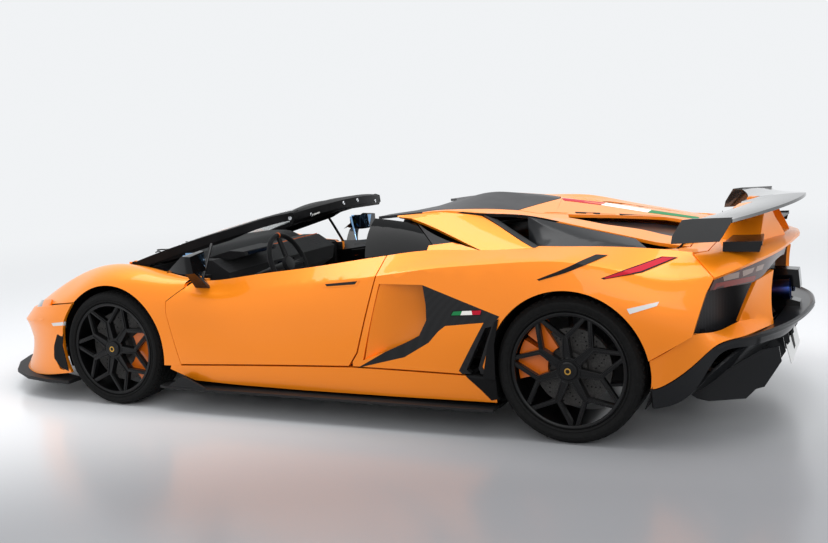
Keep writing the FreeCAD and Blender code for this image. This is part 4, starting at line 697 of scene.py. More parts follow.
class CAR_OT_smooth_panels(bpy.types.Operator):
    """Copies the outer panels as smooth, joined surfaces with softened edges"""

    bl_idname = "car.smooth_panels"
    bl_label = "Smooth outer panels"

    # The mirror heads' glass, nose, top, height of the nose and middle, in metres, and how much they draw in
    MIRROR_GLASS_X = 0.600
    MIRROR_NOSE_X = 0.774
    MIRROR_TOP_Z = 0.905
    MIRROR_NOSE_Z = 0.790
    MIRROR_MIDDLE_Y = 1.020
    MIRROR_NARROWING = 0.45

    def execute(self, context):
        for node, soft_mm in SOFTENED_EDGES.items():
            source = frame["nodes"][node]
            shape = merged_copy(node)
            bmesh.ops.dissolve_degenerate(shape, edges=shape.edges, dist=0.00001)
            if node in ("mirror_left", "mirror_right"):
                self.drawn_to_a_nose(shape)
            panel = make_piece(node + "_skin", shape, source.data.materials[0], BODY_OF_NODE[node], 24.0,
                               SLOT_OF_NODE[node])
            self.lining(panel, node)
            if soft_mm:
                softened(panel, soft_mm, 2, 40)
            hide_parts(node)
        return {"FINISHED"}

    def drawn_to_a_nose(self, shape):
        """The mirror's head falls away forwards from its glass to a low, narrow nose."""
        for vert in shape.verts:
            share = (vert.co.x - self.MIRROR_GLASS_X) / (self.MIRROR_NOSE_X - self.MIRROR_GLASS_X)
            share = min(1.0, max(0.0, share))
            if vert.co.z > self.MIRROR_NOSE_Z and share:
                roof = self.MIRROR_TOP_Z - (self.MIRROR_TOP_Z - self.MIRROR_NOSE_Z) * share
                vert.co.z = min(vert.co.z, roof)
                middle = math.copysign(self.MIRROR_MIDDLE_Y, vert.co.y)
                vert.co.y += (middle - vert.co.y) * self.MIRROR_NARROWING * share

    def lining(self, panel, node):
        for nodes, material, reach, lies_inside in LINED_FACES:
            if node not in nodes:
                continue
            panel.data.materials.append(material())
            for face in panel.data.polygons:
                out = face.normal.y if face.center.y > 0 else -face.normal.y
                if reach[0] < face.center.x < reach[1] and lies_inside(out, face.normal.z):
                    face.material_index = len(panel.data.materials) - 1


class CAR_OT_wheels(bpy.types.Operator):
    """Adds ribs, lips, hub rings, drilled discs and moulded tyres to the four wheels"""

    bl_idname = "car.wheels"
    bl_label = "Wheels and tyres"

    SPOKES = 7
    SPOKE_LEAN = {"front": 10.0, "rear": 5.0}
    RIM_RADIUS = {"front": 0.267, "rear": 0.281}
    # The two ribs of a spoke: their feet's distance from the axle and from its middle line, the gap to the rim,
    # their fork as a share of the way out, the same distance there, and their spread beyond it as a share of
    # half the angle between spokes
    RIB_FOOT = (0.052, 0.0175)
    RIM_GAP = 0.0045
    FORK_SHARE = 0.60
    FORK_Y = 0.0105
    SPREAD = 0.92
    # Depths below the tyre's side: of the spokes' faces, and of the brake disc's two faces
    SPOKE_DEPTH = 0.016
    DISC_DEPTHS = (0.0956, 0.1344)
    # Outlines below: distance from the axle, height over the tyre's side
    HUB = ((0.0, -0.003), (0.026, -0.003), (0.030, -0.006), (0.034, -0.0035), (0.040, -0.004), (0.044, -0.008),
           (0.046, -0.016), (0.056, -0.017), (0.061, -0.014), (0.064, -0.017), (0.065, -0.026))
    HUB_RING = ((0.010, -0.0032), (0.010, -0.0018), (0.013, -0.0012), (0.016, -0.0018), (0.016, -0.0032),
                (0.010, -0.0032))
    # The same for the rim's lip, inwards from the rim's radius
    LIP = ((0.017, -0.022), (0.017, -0.011), (0.013, -0.008), (0.006, -0.007), (0.002, -0.009), (0.001, -0.014),
           (0.001, -0.022), (0.017, -0.022))
    # Middles of the four grooves, as shares of the tyre's width, and half their width at the top and below
    GROOVES = (0.26, 0.42, 0.58, 0.74)
    GROOVE_TOP = 0.005
    GROOVE_FLOOR = 0.0035
    # The tread's plain edge, the shoulder's height with cuts in it, and the cuts' border and depth
    TREAD_EDGE = 0.040
    SHOULDER = 0.012
    CUT_BORDER = 0.0045
    CUT_DEPTH = 0.003
    # The brake disc's holes: rows round it, holes in a row, turn between them in degrees, radius, first hole's
    # distance from the axle and last one's from the disc's edge
    HOLE_ROWS = 14
    ROW_HOLES = 5
    HOLE_TURN = 5.5
    HOLE_RADIUS = 0.0042
    FIRST_HOLE = 0.112
    LAST_HOLE = 0.016

    def execute(self, context):
        for end in ("front", "rear"):
            for name_side, side in (("left", 1), ("right", -1)):
                self.wheel(context.scene.car_wheels, end, side, f"{end}_{name_side}")
        return {"FINISHED"}

    def wheel(self, settings, end, side, tag):
        low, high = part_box("tyre_" + tag)
        axle = Vector(JOINTS["roll_" + tag]["pos_m"])
        self.hub = Vector((axle.x, high.y if side > 0 else low.y, axle.z))
        self.out = (0, side, 0)
        self.side = side
        self.tag = tag
        self.body = "wheel_" + tag
        rim = self.RIM_RADIUS[end]
        self.ribs(settings, math.radians(self.SPOKE_LEAN[end] - 90), rim)
        self.rings(rim)
        self.tyre(settings, (high.x - low.x) / 2, high.y - low.y, rim)
        self.drillings()

    def place(self, x, y, depth):
        """A point of the wheel's face: x forward, y round the axle, depth inwards from the tyre's side."""
        return self.hub + Vector((x, -self.side * depth, -self.side * y))

    def ribs(self, settings, lean, rim):
        """Two thin ribs on each spoke that fork outside the middle of its length."""
        shape = bmesh.new()
        reach = rim - self.RIM_GAP
        fork = reach * self.FORK_SHARE
        tip = reach - 0.004
        tip_turn = math.pi / self.SPOKES * self.SPREAD
        foot_x, foot_y = self.RIB_FOOT
        for spoke in range(self.SPOKES):
            turn = self.side * lean + math.tau / self.SPOKES * spoke

            def turned(x, y, depth=self.SPOKE_DEPTH - 0.001):
                return self.place(x * math.cos(turn) - y * math.sin(turn),
                                  x * math.sin(turn) + y * math.cos(turn), depth)
            for way in (1, -1):
                start = turned(foot_x, foot_y * way)
                bar_between(shape, start, turned(fork, self.FORK_Y * way), settings.rib_width,
                            settings.rib_height, self.out)
                start = turned(fork - 0.004, (self.FORK_Y - 0.001) * way)
                end = turned(tip * math.cos(tip_turn), tip * math.sin(tip_turn) * way, self.SPOKE_DEPTH + 0.001)
                bar_between(shape, start, end, settings.rib_width * 1.25, settings.rib_height, self.out)
        bmesh.ops.bevel(shape, geom=shape.edges[:], offset=0.0018, segments=2, profile=0.5, affect="EDGES",
                        material=-1)
        bmesh.ops.recalc_face_normals(shape, faces=shape.faces)
        make_piece("spoke_ribs_" + self.tag, shape, satin_black_wheel_paint(), self.body, slot="rim_black")

    def rings(self, rim):
        lip = [(rim - inwards, height) for inwards, height in self.LIP]
        rings = [(lip, self.hub, self.out, 96), (self.HUB, self.hub, self.out, 48)]
        turned_piece("rim_rings_" + self.tag, rings, satin_black_wheel_paint(), self.body, 30.0, "rim_black")
        turned_piece("hub_ring_" + self.tag, [(self.HUB_RING, self.hub, self.out, 32)], brushed_brass(),
                     self.body, 50.0, "exhaust_steel")

    def tyre(self, settings, radius, width, rim):
        wall = radius - rim
        side_profile = [
            (rim + 0.001, -0.020), (rim + 0.004, -0.009), (rim + 0.008, -0.004), (rim + 0.013, -0.0025),
            (rim + 0.017, -0.006), (rim + wall * 0.42, -0.0015), (rim + wall * 0.55, -0.001),
            (rim + wall * 0.57, -0.002), (rim + wall * 0.68, -0.003), (radius - 0.016, -0.011),
            (radius - 0.008, -0.019), (radius - 0.003, -0.028),
        ]
        floor = radius - settings.groove_depth
        tread = [(radius, -self.TREAD_EDGE)]
        for share in self.GROOVES:
            middle = -width * share
            tread += [(radius, middle + self.GROOVE_TOP), (floor, middle + self.GROOVE_FLOOR),
                      (floor, middle - self.GROOVE_FLOOR), (radius, middle - self.GROOVE_TOP)]
        tread.append((radius, self.TREAD_EDGE - width))
        other = [(r, -width - h) for r, h in reversed(side_profile)]
        shape = bmesh.new()
        cuts_round = settings.sipe_rows * 2
        lathe(shape, side_profile + tread + other + side_profile[:1], self.hub, self.out, cuts_round)
        joined(shape)
        cuts = []
        for face in shape.faces:
            middle = face.calc_center_median() - self.hub
            turn = math.atan2(middle.z, middle.x) / math.tau * cuts_round
            depth = min(abs(middle.y), width - abs(middle.y))
            on_tread = math.hypot(middle.x, middle.z) > radius - self.SHOULDER
            if on_tread and self.SHOULDER < depth < width * 0.24 and math.floor(turn) % 2 == 0:
                cuts.append(face)
        bmesh.ops.inset_individual(shape, faces=cuts, thickness=self.CUT_BORDER, depth=-self.CUT_DEPTH)
        piece = make_piece("tyre_rubber_" + self.tag, shape, tyre_rubber(), self.body, 32.0, "tyre_rubber")
        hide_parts("tyre_" + self.tag)

    def drillings(self):
        """Rows of drilled holes on both faces of the brake disc, drawn as their dark mouths."""
        low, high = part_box("disc_" + self.tag)
        span = (high.x - low.x) / 2 - self.LAST_HOLE - self.FIRST_HOLE
        shape = bmesh.new()
        for row in range(self.HOLE_ROWS):
            for step in range(self.ROW_HOLES):
                out = self.FIRST_HOLE + span * step / (self.ROW_HOLES - 1)
                turn = math.tau / self.HOLE_ROWS * row + math.radians(self.HOLE_TURN * step)
                for depth, way in zip(self.DISC_DEPTHS, (1, -1)):
                    spot = self.place(out * math.cos(turn), out * math.sin(turn), depth)
                    tilt = Vector((0, 0, 1)).rotation_difference(Vector((0, self.side * way, 0)))
                    bmesh.ops.create_circle(shape, cap_ends=True, radius=self.HOLE_RADIUS, segments=8,
                                            matrix=Matrix.Translation(spot) @ tilt.to_matrix().to_4x4())
        make_piece("disc_drillings_" + self.tag, shape, moulded_black_abs(), self.body, slot="brake_disc")


def paired_patch(name, edges, onto, material, lift_mm, thick_mm, body, slot, steps=(16, 2), twin=True, far=None,
                 sharp_degrees=75.0):
    """A thin piece between two edges, and its mirror image on the far side.

    onto names the CAD nodes that the photograph shows it on, or is a cast. far gives the name and the body of
    the mirror image where that moves on its own.
    """
    cast = onto if callable(onto) else seen_on(faces_of(*onto))
    for tag, carrier in ((name, body), far) if far else ((name, body),):
        shape = bmesh.new()
        laid_patch(shape, edges, cast, lift_mm, steps)
        thickened(shape, thick_mm)
        if tag != name:
            to_the_far_side(shape)
        elif twin and not far:
            mirrored_too(shape)
        make_piece(tag, shape, material, carrier, sharp_degrees, slot)


class CAR_OT_stripes(bpy.types.Operator):
    """Lays the tricolour stripes and the tapered fender stripes"""

    bl_idname = "car.stripes"
    bl_label = "Stripes"

    # Pixel columns and rows of the photograph: upper edge, then lower edge
    DECK = (
        ("red", [(560.5, 197.8), (606.0, 202.8)], [(564.5, 200.6), (600.5, 205.0)]),
        ("white", [(606.0, 202.8), (651.5, 210.0)], [(600.5, 205.0), (647.5, 212.6)]),
        ("green", [(651.5, 210.0), (699.5, 217.2)], [(647.5, 212.6), (698.0, 219.2)]),
    )
    BLADE = (
        ("green", [(453.5, 311.6), (462.2, 311.1)], [(451.2, 315.4), (460.6, 315.2)]),
        ("white", [(462.2, 311.1), (471.6, 310.7)], [(460.6, 315.2), (472.4, 314.9)]),
        ("red", [(471.6, 310.7), (481.4, 310.4)], [(472.4, 314.9), (480.2, 314.6)]),
    )
    BLADE_EDGE = ([(452.2, 310.9), (482.6, 309.6)], [(450.0, 316.3), (481.0, 315.3)])
    # The rear fender's stripes: name, film, height in lifts over the paint, upper edge, lower edge
    FENDER = (
        ("black", "black", 4.0, [(537.0, 279.6), (560.0, 270.6), (586.0, 259.0), (596.0, 254.8)],
         [(539.0, 280.8), (565.0, 273.2), (593.0, 262.0), (608.0, 255.4)]),
        ("border", "black", 4.0, [(601.0, 278.4), (634.0, 266.8), (662.0, 256.8)],
         [(603.6, 279.6), (642.0, 272.8), (678.0, 257.6)]),
        ("red", "red", 5.5, [(604.0, 277.9), (634.8, 267.8), (662.6, 257.7)],
         [(606.2, 278.8), (640.8, 271.8), (674.8, 258.2)]),
    )
    FILM_MM = 0.3

    def execute(self, context):
        lift = context.scene.car_trim.film_lift
        for tone, *edges in self.DECK:
            paired_patch("deck_stripe_" + tone, edges, ("engine_cover",), film(tone), lift, self.FILM_MM,
                         "engine_cover", "body_paint", (24, 3), twin=False)
        paired_patch("blade_stripe_border", self.BLADE_EDGE, ("side_blades",), film("black"), lift,
                     self.FILM_MM, "car", "gloss_black")
        for tone, *edges in self.BLADE:
            paired_patch("blade_stripe_" + tone, edges, ("side_blades",), film(tone), lift * 2.2, self.FILM_MM,
                         "car", "gloss_black")
        for tag, tone, lifts, *edges in self.FENDER:
            paired_patch("fender_stripe_" + tag, edges, ("rear_quarters",), film(tone), lift * lifts,
                         self.FILM_MM, "car", "body_paint", (36, 3))
        return {"FINISHED"}


class CAR_OT_lamps(bpy.types.Operator):
    """Lays the marker lamps and the chambers of the tail lamps"""

    bl_idname = "car.lamps"
    bl_label = "Lamps"

    # Pixel columns and rows of the photograph: the lamp, its CAD node, upper edge, lower edge
    MARKERS = (
        ("rear", "rear_quarters", [(626.8, 309.0), (659.2, 301.6)], [(629.6, 314.2), (656.8, 306.0)]),
        ("front", "front_bumper", [(51.6, 323.2), (65.8, 321.6)], [(53.2, 326.0), (65.6, 325.2)]),
    )
    # Upper and lower edges of the pale chambers behind the tail lamp's cover, and of the red glow below them
    TAIL_CHAMBERS = (
        ([(722.8, 275.4), (739.4, 271.8)], [(724.0, 281.0), (738.6, 277.6)]),
        ([(742.6, 270.8), (754.6, 267.2)], [(743.0, 276.6), (752.4, 272.4)]),
        ([(757.0, 266.4), (764.4, 263.6)], [(755.6, 271.6), (762.2, 269.4)]),
    )
    TAIL_GLOW = ([(716.0, 283.4), (756.0, 275.4)], [(713.0, 290.0), (754.6, 280.4)])

    def execute(self, context):
        for tag, node, *edges in self.MARKERS:
            paired_patch(tag + "_marker_lamp", edges, (node,), white_marker_lens(), 1.2, 1.5, "car",
                         "lamp_clear")
        for count, edges in enumerate(self.TAIL_CHAMBERS):
            paired_patch(f"tail_lamp_chamber_{count}", edges, ("tail_lamps",), pale_lamp_reflector(), 0.6, 0.6,
                         "car", "lamp_red", (8, 3))
        paired_patch("tail_lamp_glow", self.TAIL_GLOW, ("tail_lamps",), ruby_lamp_reflector(), 0.6, 0.6, "car",
                     "lamp_red", (16, 3))
        return {"FINISHED"}


class CAR_OT_body_details(bpy.types.Operator):
    """Adds door handles, slots in the deck, the gills behind the blades and the wipers"""

    bl_idname = "car.body_details"
    bl_label = "Handles, slots, gills and wipers"

    HANDLE_POCKET = ([(322.4, 284.0), (329.0, 280.4), (360.4, 279.8)],
                     [(323.6, 287.0), (330.0, 287.6), (356.4, 285.6)])
    HANDLE_SLIT = ([(325.2, 284.2), (357.4, 281.2)], [(327.0, 286.4), (355.0, 284.4)])
    DECK_SLOT = ([(660.4, 244.9), (680.0, 247.4)], [(663.0, 247.0), (679.0, 248.8)])
    COVER_SLOTS = (
        ([(575.0, 211.9), (600.4, 212.9)], [(575.6, 213.3), (600.0, 214.3)]),
        ([(619.0, 213.8), (643.3, 215.0)], [(620.0, 215.2), (643.0, 216.5)]),
    )
    # The dark gill between the side blade and the rear wheel arch: front edge, then rear edge
    GILL = ([(463.0, 373.0), (472.0, 381.0), (482.0, 390.0), (492.0, 400.0)],
            [(464.0, 371.5), (486.0, 371.5), (495.0, 380.0), (497.0, 399.0)])
    # Plates across openings: a point and the normal of each plate's plane, two edges, thickness in mm and steps
    PLATES = {
        "side_gill_edge": ((-1.066, 1.0335, 0.444), (0.05, 1.0, 0.0), (
            [(494.6, 322.0), (487.6, 345.0), (483.0, 378.0)],
            [(498.4, 319.0), (494.0, 345.0), (495.4, 380.0)]), 2.0, (20, 2)),
        "front_gill": ((1.640, 0.968, 0.300), (0.2, 0.98, 0.0), (
            [(57.4, 334.4), (54.4, 346.0), (54.6, 358.0), (61.0, 367.0)],
            [(63.6, 334.4), (63.0, 346.0), (66.0, 358.0), (69.0, 371.0)]), 3.0, (16, 4)),
        "rear_grille_foot": ((-2.066, 0.723, 0.519), (-0.88, 0.48, 0.0), (
            [(700.0, 329.0), (731.0, 325.0)], [(700.0, 335.0), (731.0, 331.0)]), 2.0, (12, 2)),
    }
    # Two wiper arms parked on the cowl: pivot, elbow and tip from the middle of the wheelbase, in metres
    WIPERS = (
        [(1.560, 0.12), (1.470, 0.30), (1.340, 0.50)],
        [(1.590, -0.34), (1.540, -0.16), (1.450, 0.06)],
    )
    WIPER_PIVOT = ((0.0, 0.022), (0.009, 0.021), (0.013, 0.016), (0.014, -0.002))
    # Heights over the glass of an arm and a blade, how far ahead of its arm a blade lies, and where it starts
    # and ends as shares of the stretch from elbow to tip
    ARM_LIFT = 0.016
    BLADE_LIFT = 0.007
    BLADE_AHEAD = 0.012
    BLADE_START = -0.7
    BLADE_END = 1.2
    ABOVE_SCREEN = 1.3

    def execute(self, context):
        black = moulded_black_abs()
        paired_patch("door_handle_pocket", self.HANDLE_POCKET, ("door_left",), pearl_lacquer_with_painted_sheen(), 0.8, 1.2,
                     "door_left", "body_paint", (16, 4), far=("door_handle_pocket_far", "door_right"))
        paired_patch("door_handle_slit", self.HANDLE_SLIT, ("door_left",), gloss_black_lacquer(), 2.6, 0.6,
                     "door_left", "gloss_black", (12, 2), far=("door_handle_slit_far", "door_right"))
        self.wipers(black)
        for count, edges in enumerate(self.COVER_SLOTS):
            paired_patch(f"cover_slot_{count}", edges, ("engine_cover",), black, 0.8, 0.4, "engine_cover",
                         "black_plastic", (10, 1))
        paired_patch("side_gill", self.GILL, ("rear_quarters", "sill_panels"), black, 4.5, 1.5, "car",
                     "black_plastic", (30, 8))
        for name, (through, normal, edges, thick_mm, steps) in self.PLATES.items():
            paired_patch(name, edges, on_plane(through, normal), black, 0.0, thick_mm, "car", "black_plastic",
                         steps, sharp_degrees=40.0)
        paired_patch("deck_slot", self.DECK_SLOT, ("rear_quarters", "tail_deck"), black, 0.8, 0.6, "car",
                     "black_plastic")
        return {"FINISHED"}

    def wipers(self, black):
        """Each arm runs over the glass from its pivot, and its blade crosses the arm's outer stretch."""
        cast = pushed_on(faces_of("windscreen", "cowl", "windscreen_frame"), (0, 0, -1))

        def over(x, y, height):
            place, normal = cast(at(x, y, self.ABOVE_SCREEN))
            return place + normal * height
        for count, marks in enumerate(self.WIPERS):
            arm = [over(x, y, self.ARM_LIFT) for x, y in marks]
            tube_along(f"wiper_arm_{count}", arm, 4.5, black, "car", "black_plastic", 10)
            (elbow_x, elbow_y), (tip_x, tip_y) = marks[1:]
            blade = []
            for step in range(7):
                share = self.BLADE_START + (self.BLADE_END - self.BLADE_START) * step / 6
                blade.append(over(elbow_x + (tip_x - elbow_x) * share + self.BLADE_AHEAD,
                                  elbow_y + (tip_y - elbow_y) * share, self.BLADE_LIFT))
            tube_along(f"wiper_blade_{count}", blade, 4.0, tyre_rubber(), "car", "black_plastic", 8)
        feet = [cast(at(*marks[0], self.ABOVE_SCREEN)) for marks in self.WIPERS]
        turned_piece("wiper_pivots", [(self.WIPER_PIVOT, place, normal, 20) for place, normal in feet], black,
                     "car", 40.0, "black_plastic")


def swollen(shape, name, cap_mm, voxel_mm=6.0, pressure=4.0, last_frame=12):
    """Remeshes a closed pad finely and lets air pressure swell it, no point moving further than the cap."""
    mesh = bpy.data.meshes.new(name)
    shape.to_mesh(mesh)
    shape.free()
    pad = bpy.data.objects.new(name, mesh)
    scene = bpy.context.scene
    scene.collection.objects.link(pad)
    fine = pad.modifiers.new("even mesh", "REMESH")
    fine.mode = "VOXEL"
    fine.voxel_size = voxel_mm / 1000
    pad.data = bpy.data.meshes.new_from_object(pad.evaluated_get(bpy.context.evaluated_depsgraph_get()))
    pad.modifiers.clear()
    before = [vert.co.copy() for vert in pad.data.vertices]
    cloth = pad.modifiers.new("stuffing", "CLOTH")
    cloth.settings.use_pressure = True
    cloth.settings.uniform_pressure_force = pressure
    cloth.settings.effector_weights.gravity = 0.0
    cloth.settings.quality = 4
    first = scene.frame_current
    for step in range(1, last_frame + 1):
        scene.frame_set(step)
    swelled = pad.evaluated_get(bpy.context.evaluated_depsgraph_get()).data
    after = [vert.co.copy() for vert in swelled.vertices]
    pad.modifiers.clear()
    scene.frame_set(first)
    reach = cap_mm / 1000
    for vert, start, end in zip(pad.data.vertices, before, after):
        move = end - start
        vert.co = start + (move if move.length <= reach else move.normalized() * reach)
    return pad


class CAR_OT_seats(bpy.types.Operator):
    """Upholsters the two bucket seats over their shells"""

    bl_idname = "car.seats"
    bl_label = "Seats"

    SEAT_MIDDLE_Y = 0.35
    # Each pad: centre (x, y from the seat's middle, z), length, width, thickness, tilt in degrees, channels
    PADS = {
        "seat_cushion": ((0.150, 0.0, 0.366), 0.40, 0.27, 0.060, -8.0, 4),
        "seat_bolster_outer": ((0.150, 0.178, 0.385), 0.40, 0.075, 0.095, -8.0, 0),
        "seat_bolster_inner": ((0.150, -0.178, 0.385), 0.40, 0.075, 0.095, -8.0, 0),
        "back_cushion": ((-0.122, 0.0, 0.585), 0.46, 0.27, 0.060, 109.0, 5),
        "back_bolster_outer": ((-0.100, 0.178, 0.600), 0.44, 0.075, 0.100, 109.0, 0),
        "back_bolster_inner": ((-0.100, -0.178, 0.600), 0.44, 0.075, 0.100, 109.0, 0),
        "headrest_pad": ((-0.225, 0.0, 0.880), 0.125, 0.22, 0.050, 106.0, 0),
    }
    CROWN = 0.010
    SWELL_CAP_MM = 8.0
    # Depth of a sewn channel, which is also how far it reaches to either side
    CHANNEL = 0.006
    # The piping's run up each side of the seat: x and height from the middle of the wheelbase
    PIPING = ((0.345, 0.425), (0.140, 0.400), (-0.045, 0.400), (-0.085, 0.560), (-0.165, 0.800))
    PIPING_APART = {"a": -0.138, "b": 0.138}

    def execute(self, context):
        shell = make_piece("seat_shells", merged_copy("seats"), black_leather(), "car", 40.0,
                           "interior_leather")
        softened(shell, 12.0, 3, 30)
        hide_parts("seats")
        for name, (centre, length, width, thick, tilt, channels) in self.PADS.items():
            pad = self.pad(name + "_left", length, width, thick)
            if channels:
                self.sewn(pad, width, channels)
            place = Matrix.Translation(at(centre[0], self.SEAT_MIDDLE_Y + centre[1], centre[2]))
            pad.data.transform(place @ Matrix.Rotation(math.radians(-tilt), 4, "Y"))
            twin = pad.data.copy()
            twin.transform(Matrix.Diagonal((1, -1, 1, 1)))
            twin.flip_normals()
            other = bpy.data.objects.new(name + "_right", twin)
            context.scene.collection.objects.link(other)
            for cushion in (pad, other):
                self.finish(cushion, black_suede() if channels else black_leather())
        for name, middle in (("left", self.SEAT_MIDDLE_Y), ("right", -self.SEAT_MIDDLE_Y)):
            for tag, aside in self.PIPING_APART.items():
                run = [at(x, middle + aside, z) for x, z in self.PIPING]
                tube_along(f"seat_piping_{name}_{tag}", run, context.scene.car_trim.piping_radius,
                           orange_thread(), "car", "interior_leather")
        return {"FINISHED"}

    def pad(self, name, length, width, thick):
        """A crowned, round-edged pad at the origin, swollen by its stuffing."""
        shape = bmesh.new()
        bmesh.ops.create_cube(shape, size=1.0, matrix=Matrix.Diagonal((length, width, thick, 1.0)))
        bmesh.ops.subdivide_edges(shape, edges=shape.edges[:], cuts=3, use_grid_fill=True)
        for vert in shape.verts:
            if vert.co.z > 0:
                along, across = 2 * vert.co.x / length, 2 * vert.co.y / width
                vert.co.z += self.CROWN * (1 - along ** 2) * (1 - across ** 2)
        bmesh.ops.bevel(shape, geom=[edge for edge in shape.edges if edge.calc_face_angle(0) > 1.0],
                        offset=min(thick, width) * 0.3, segments=3, profile=0.5, affect="EDGES", material=-1)
        return swollen(shape, name, self.SWELL_CAP_MM)

    def sewn(self, pad, width, channels):
        """Draws the top of a pad down along its sewn channels."""
        for vert in pad.data.vertices:
            if vert.co.z > 0:
                across = (vert.co.y / width + 0.5) * channels
                nearest = abs(across - round(across)) * width / channels
                vert.co.z -= self.CHANNEL * math.exp(-(nearest / self.CHANNEL) ** 2)

    def finish(self, pad, material):
        pad.data.polygons.foreach_set("use_smooth", [True] * len(pad.data.polygons))
        pad.data.materials.clear()
        pad.data.materials.append(material)
        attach(pad, "car")


class CAR_OT_cabin(bpy.types.Operator):
    """Trims the doors, dashboard, steering wheel, header, screen pillars and mirrors"""

    bl_idname = "car.cabin"
    bl_label = "Cabin trim and mirrors"

    # Upper and lower edges of the door's inner trim: x and height from the middle of the wheelbase
    TRIM_TOP = ((0.690, 0.704), (0.350, 0.750), (0.090, 0.784), (-0.150, 0.812), (-0.285, 0.822))
    TRIM_LOW = ((0.800, 0.330), (0.350, 0.330), (0.090, 0.340), (-0.100, 0.350), (-0.180, 0.400))
    # The trim is laid onto the door from this far off the middle plane, and its piping lies this far below its
    # top and off the door
    INSIDE_DOOR_Y = 0.60
    PIPING_DROP = 0.075
    PIPING_LIFT = 0.0065
    FAR_MIRROR = ([(349.5, 215.0), (371.0, 214.2)], [(351.0, 226.8), (369.0, 227.2)])
    # The near screen pillar's lower edge, with the drop of its inner trim, in the part's frame in metres
    PILLAR = ((1.215, 0.729, 0.800, 0.012), (1.120, 0.716, 0.828, 0.034), (1.008, 0.700, 0.860, 0.052),
              (0.879, 0.679, 0.904, 0.058), (0.752, 0.656, 0.942, 0.058), (0.640, 0.622, 0.966, 0.050),
              (0.535, 0.560, 0.990, 0.030), (0.440, 0.480, 1.006, 0.008))
    DOOR_POST = ((0.692, 0.846, 0.722), (0.704, 0.772, 0.820), (0.716, 0.700, 0.905))
    HEADER_LAMP = ([(311.6, 214.6), (319.4, 211.6)], [(312.0, 215.8), (319.8, 212.8)])
    HEADER_SOCKETS = ((343.8, 203.0), (375.2, 201.0), (290.2, 218.2))
    SOCKET = ((0.0, 0.0004), (0.006, 0.0006), (0.007, 0.003), (0.011, 0.0034), (0.013, -0.001))
    DASH_PIPING = [at(0.868, y, 0.805) for y in (-0.625, -0.30, 0.02, 0.17)]
    # The dashboard's top, in the part's frame in metres: its rear edge, length, half width, narrowing and
    # height at the rear, the rise over its first stretch, and the gap below the glass
    PAD_REAR_X = 0.880
    PAD_LENGTH = 0.440
    PAD_HALF_WIDTH = 0.590
    PAD_NARROWING = 0.06
    PAD_REAR_Z = 0.793
    PAD_RISE = 0.040
    PAD_RISE_LENGTH = 0.12
    PAD_GAP = 0.014
    # Displays on the dashboard: middle and half width across the car, upper and lower height
    DISPLAYS = {"instrument_glass": (0.37, 0.14, 0.834, 0.818), "console_display": (0.0, 0.10, 0.715, 0.665)}
    # Vents in the dashboard: their middles across the car, half their width, the lowest slat's place, the steps
    # up from it, and a slat's width and height
    VENT_MIDDLES = (-0.50, -0.22, 0.14, 0.56)
    VENT_HALF = 0.045
    VENT_X = 0.772
    VENT_Z = 0.745
    VENT_STEP_X = 0.018
    VENT_STEP_Z = 0.011
    SLAT = (0.004, 0.003)
    # The steering wheel: its centre, the direction of its column and of its top, and the mark's radius
    WHEEL_CENTRE = at(0.520, 0.35, 0.745)
    WHEEL_AXIS = Vector((0.93, 0.0, -0.36)).normalized()
    WHEEL_TOP = Vector((0.36, 0.0, 0.93)).normalized()
    MARK_RADIUS = 0.178
    MARK_HALF_TURN = 0.035
    HUB_PAD = ((0.0, 0.016), (0.030, 0.016), (0.040, 0.013), (0.044, 0.006), (0.044, -0.005))

    def execute(self, context):
        self.doors()
        paired_patch("mirror_glass", self.FAR_MIRROR, ("mirror_right",), mirror_glass(), 1.0, 1.0, "door_right",
                     "gloss_black", (12, 8), far=("mirror_glass_far", "door_left"))
        header = seen_on(faces_of("windscreen_frame"))
        paired_patch("header_lamp", self.HEADER_LAMP, header, white_marker_lens(), 0.8, 0.8, "car",
                     "gloss_black", (4, 2), twin=False)
        turned_piece("header_sockets", [(self.SOCKET, *header(mark), 20) for mark in self.HEADER_SOCKETS],
                     polished_steel(), "car", 30.0, "gloss_black", twin=True)
        self.pillars()
        self.dashboard(context.scene.car_trim)
        self.steering_wheel()
        return {"FINISHED"}

    def doors(self):
        """Leather over the inside of each door, with a line of piping below its upper edge."""
        cast = pushed_on(faces_of("door_left"), (0, 1, 0))
        edges = [[at(x, self.INSIDE_DOOR_Y, z) for x, z in line] for line in (self.TRIM_TOP, self.TRIM_LOW)]
        paired_patch("door_trim_left", edges, cast, black_leather(), 3.0, 3.0, "door_left", "interior_leather",
                     (24, 10), far=("door_trim_right", "door_right"), sharp_degrees=40.0)
        stitched = []
        for x, z in self.TRIM_TOP:
            place, normal = cast(at(x, self.INSIDE_DOOR_Y, z - self.PIPING_DROP))
            stitched.append(place + normal * self.PIPING_LIFT)
        for name, side in (("left", 1), ("right", -1)):
            run = [(place.x, place.y * side, place.z) for place in stitched]
            tube_along("door_piping_" + name, run, 1.5, orange_thread(), "door_" + name, "interior_leather")

    def pillars(self):
        """The inner trim of the screen pillars and the narrow posts behind the mirrors."""
        shape = bmesh.new()
        rows = [(shape.verts.new((x, y - 0.012, z)), shape.verts.new((x, y - 0.004, z - drop)))
                for x, y, z, drop in self.PILLAR]
        for near, far in zip(rows, rows[1:]):
            shape.faces.new((near[0], near[1], far[1], far[0]))
        bmesh.ops.solidify(shape, geom=shape.faces[:], thickness=0.006)
        mirrored_too(shape)
        make_piece("pillar_trim", shape, moulded_black_abs(), "car", 50.0, "gloss_black")
        for name, side in (("left", 1), ("right", -1)):
            post = [(x, y * side, z) for x, y, z in self.DOOR_POST]
            tube_along("door_post_" + name, post, 9.0, gloss_black_lacquer(), "door_" + name, "gloss_black", 12)

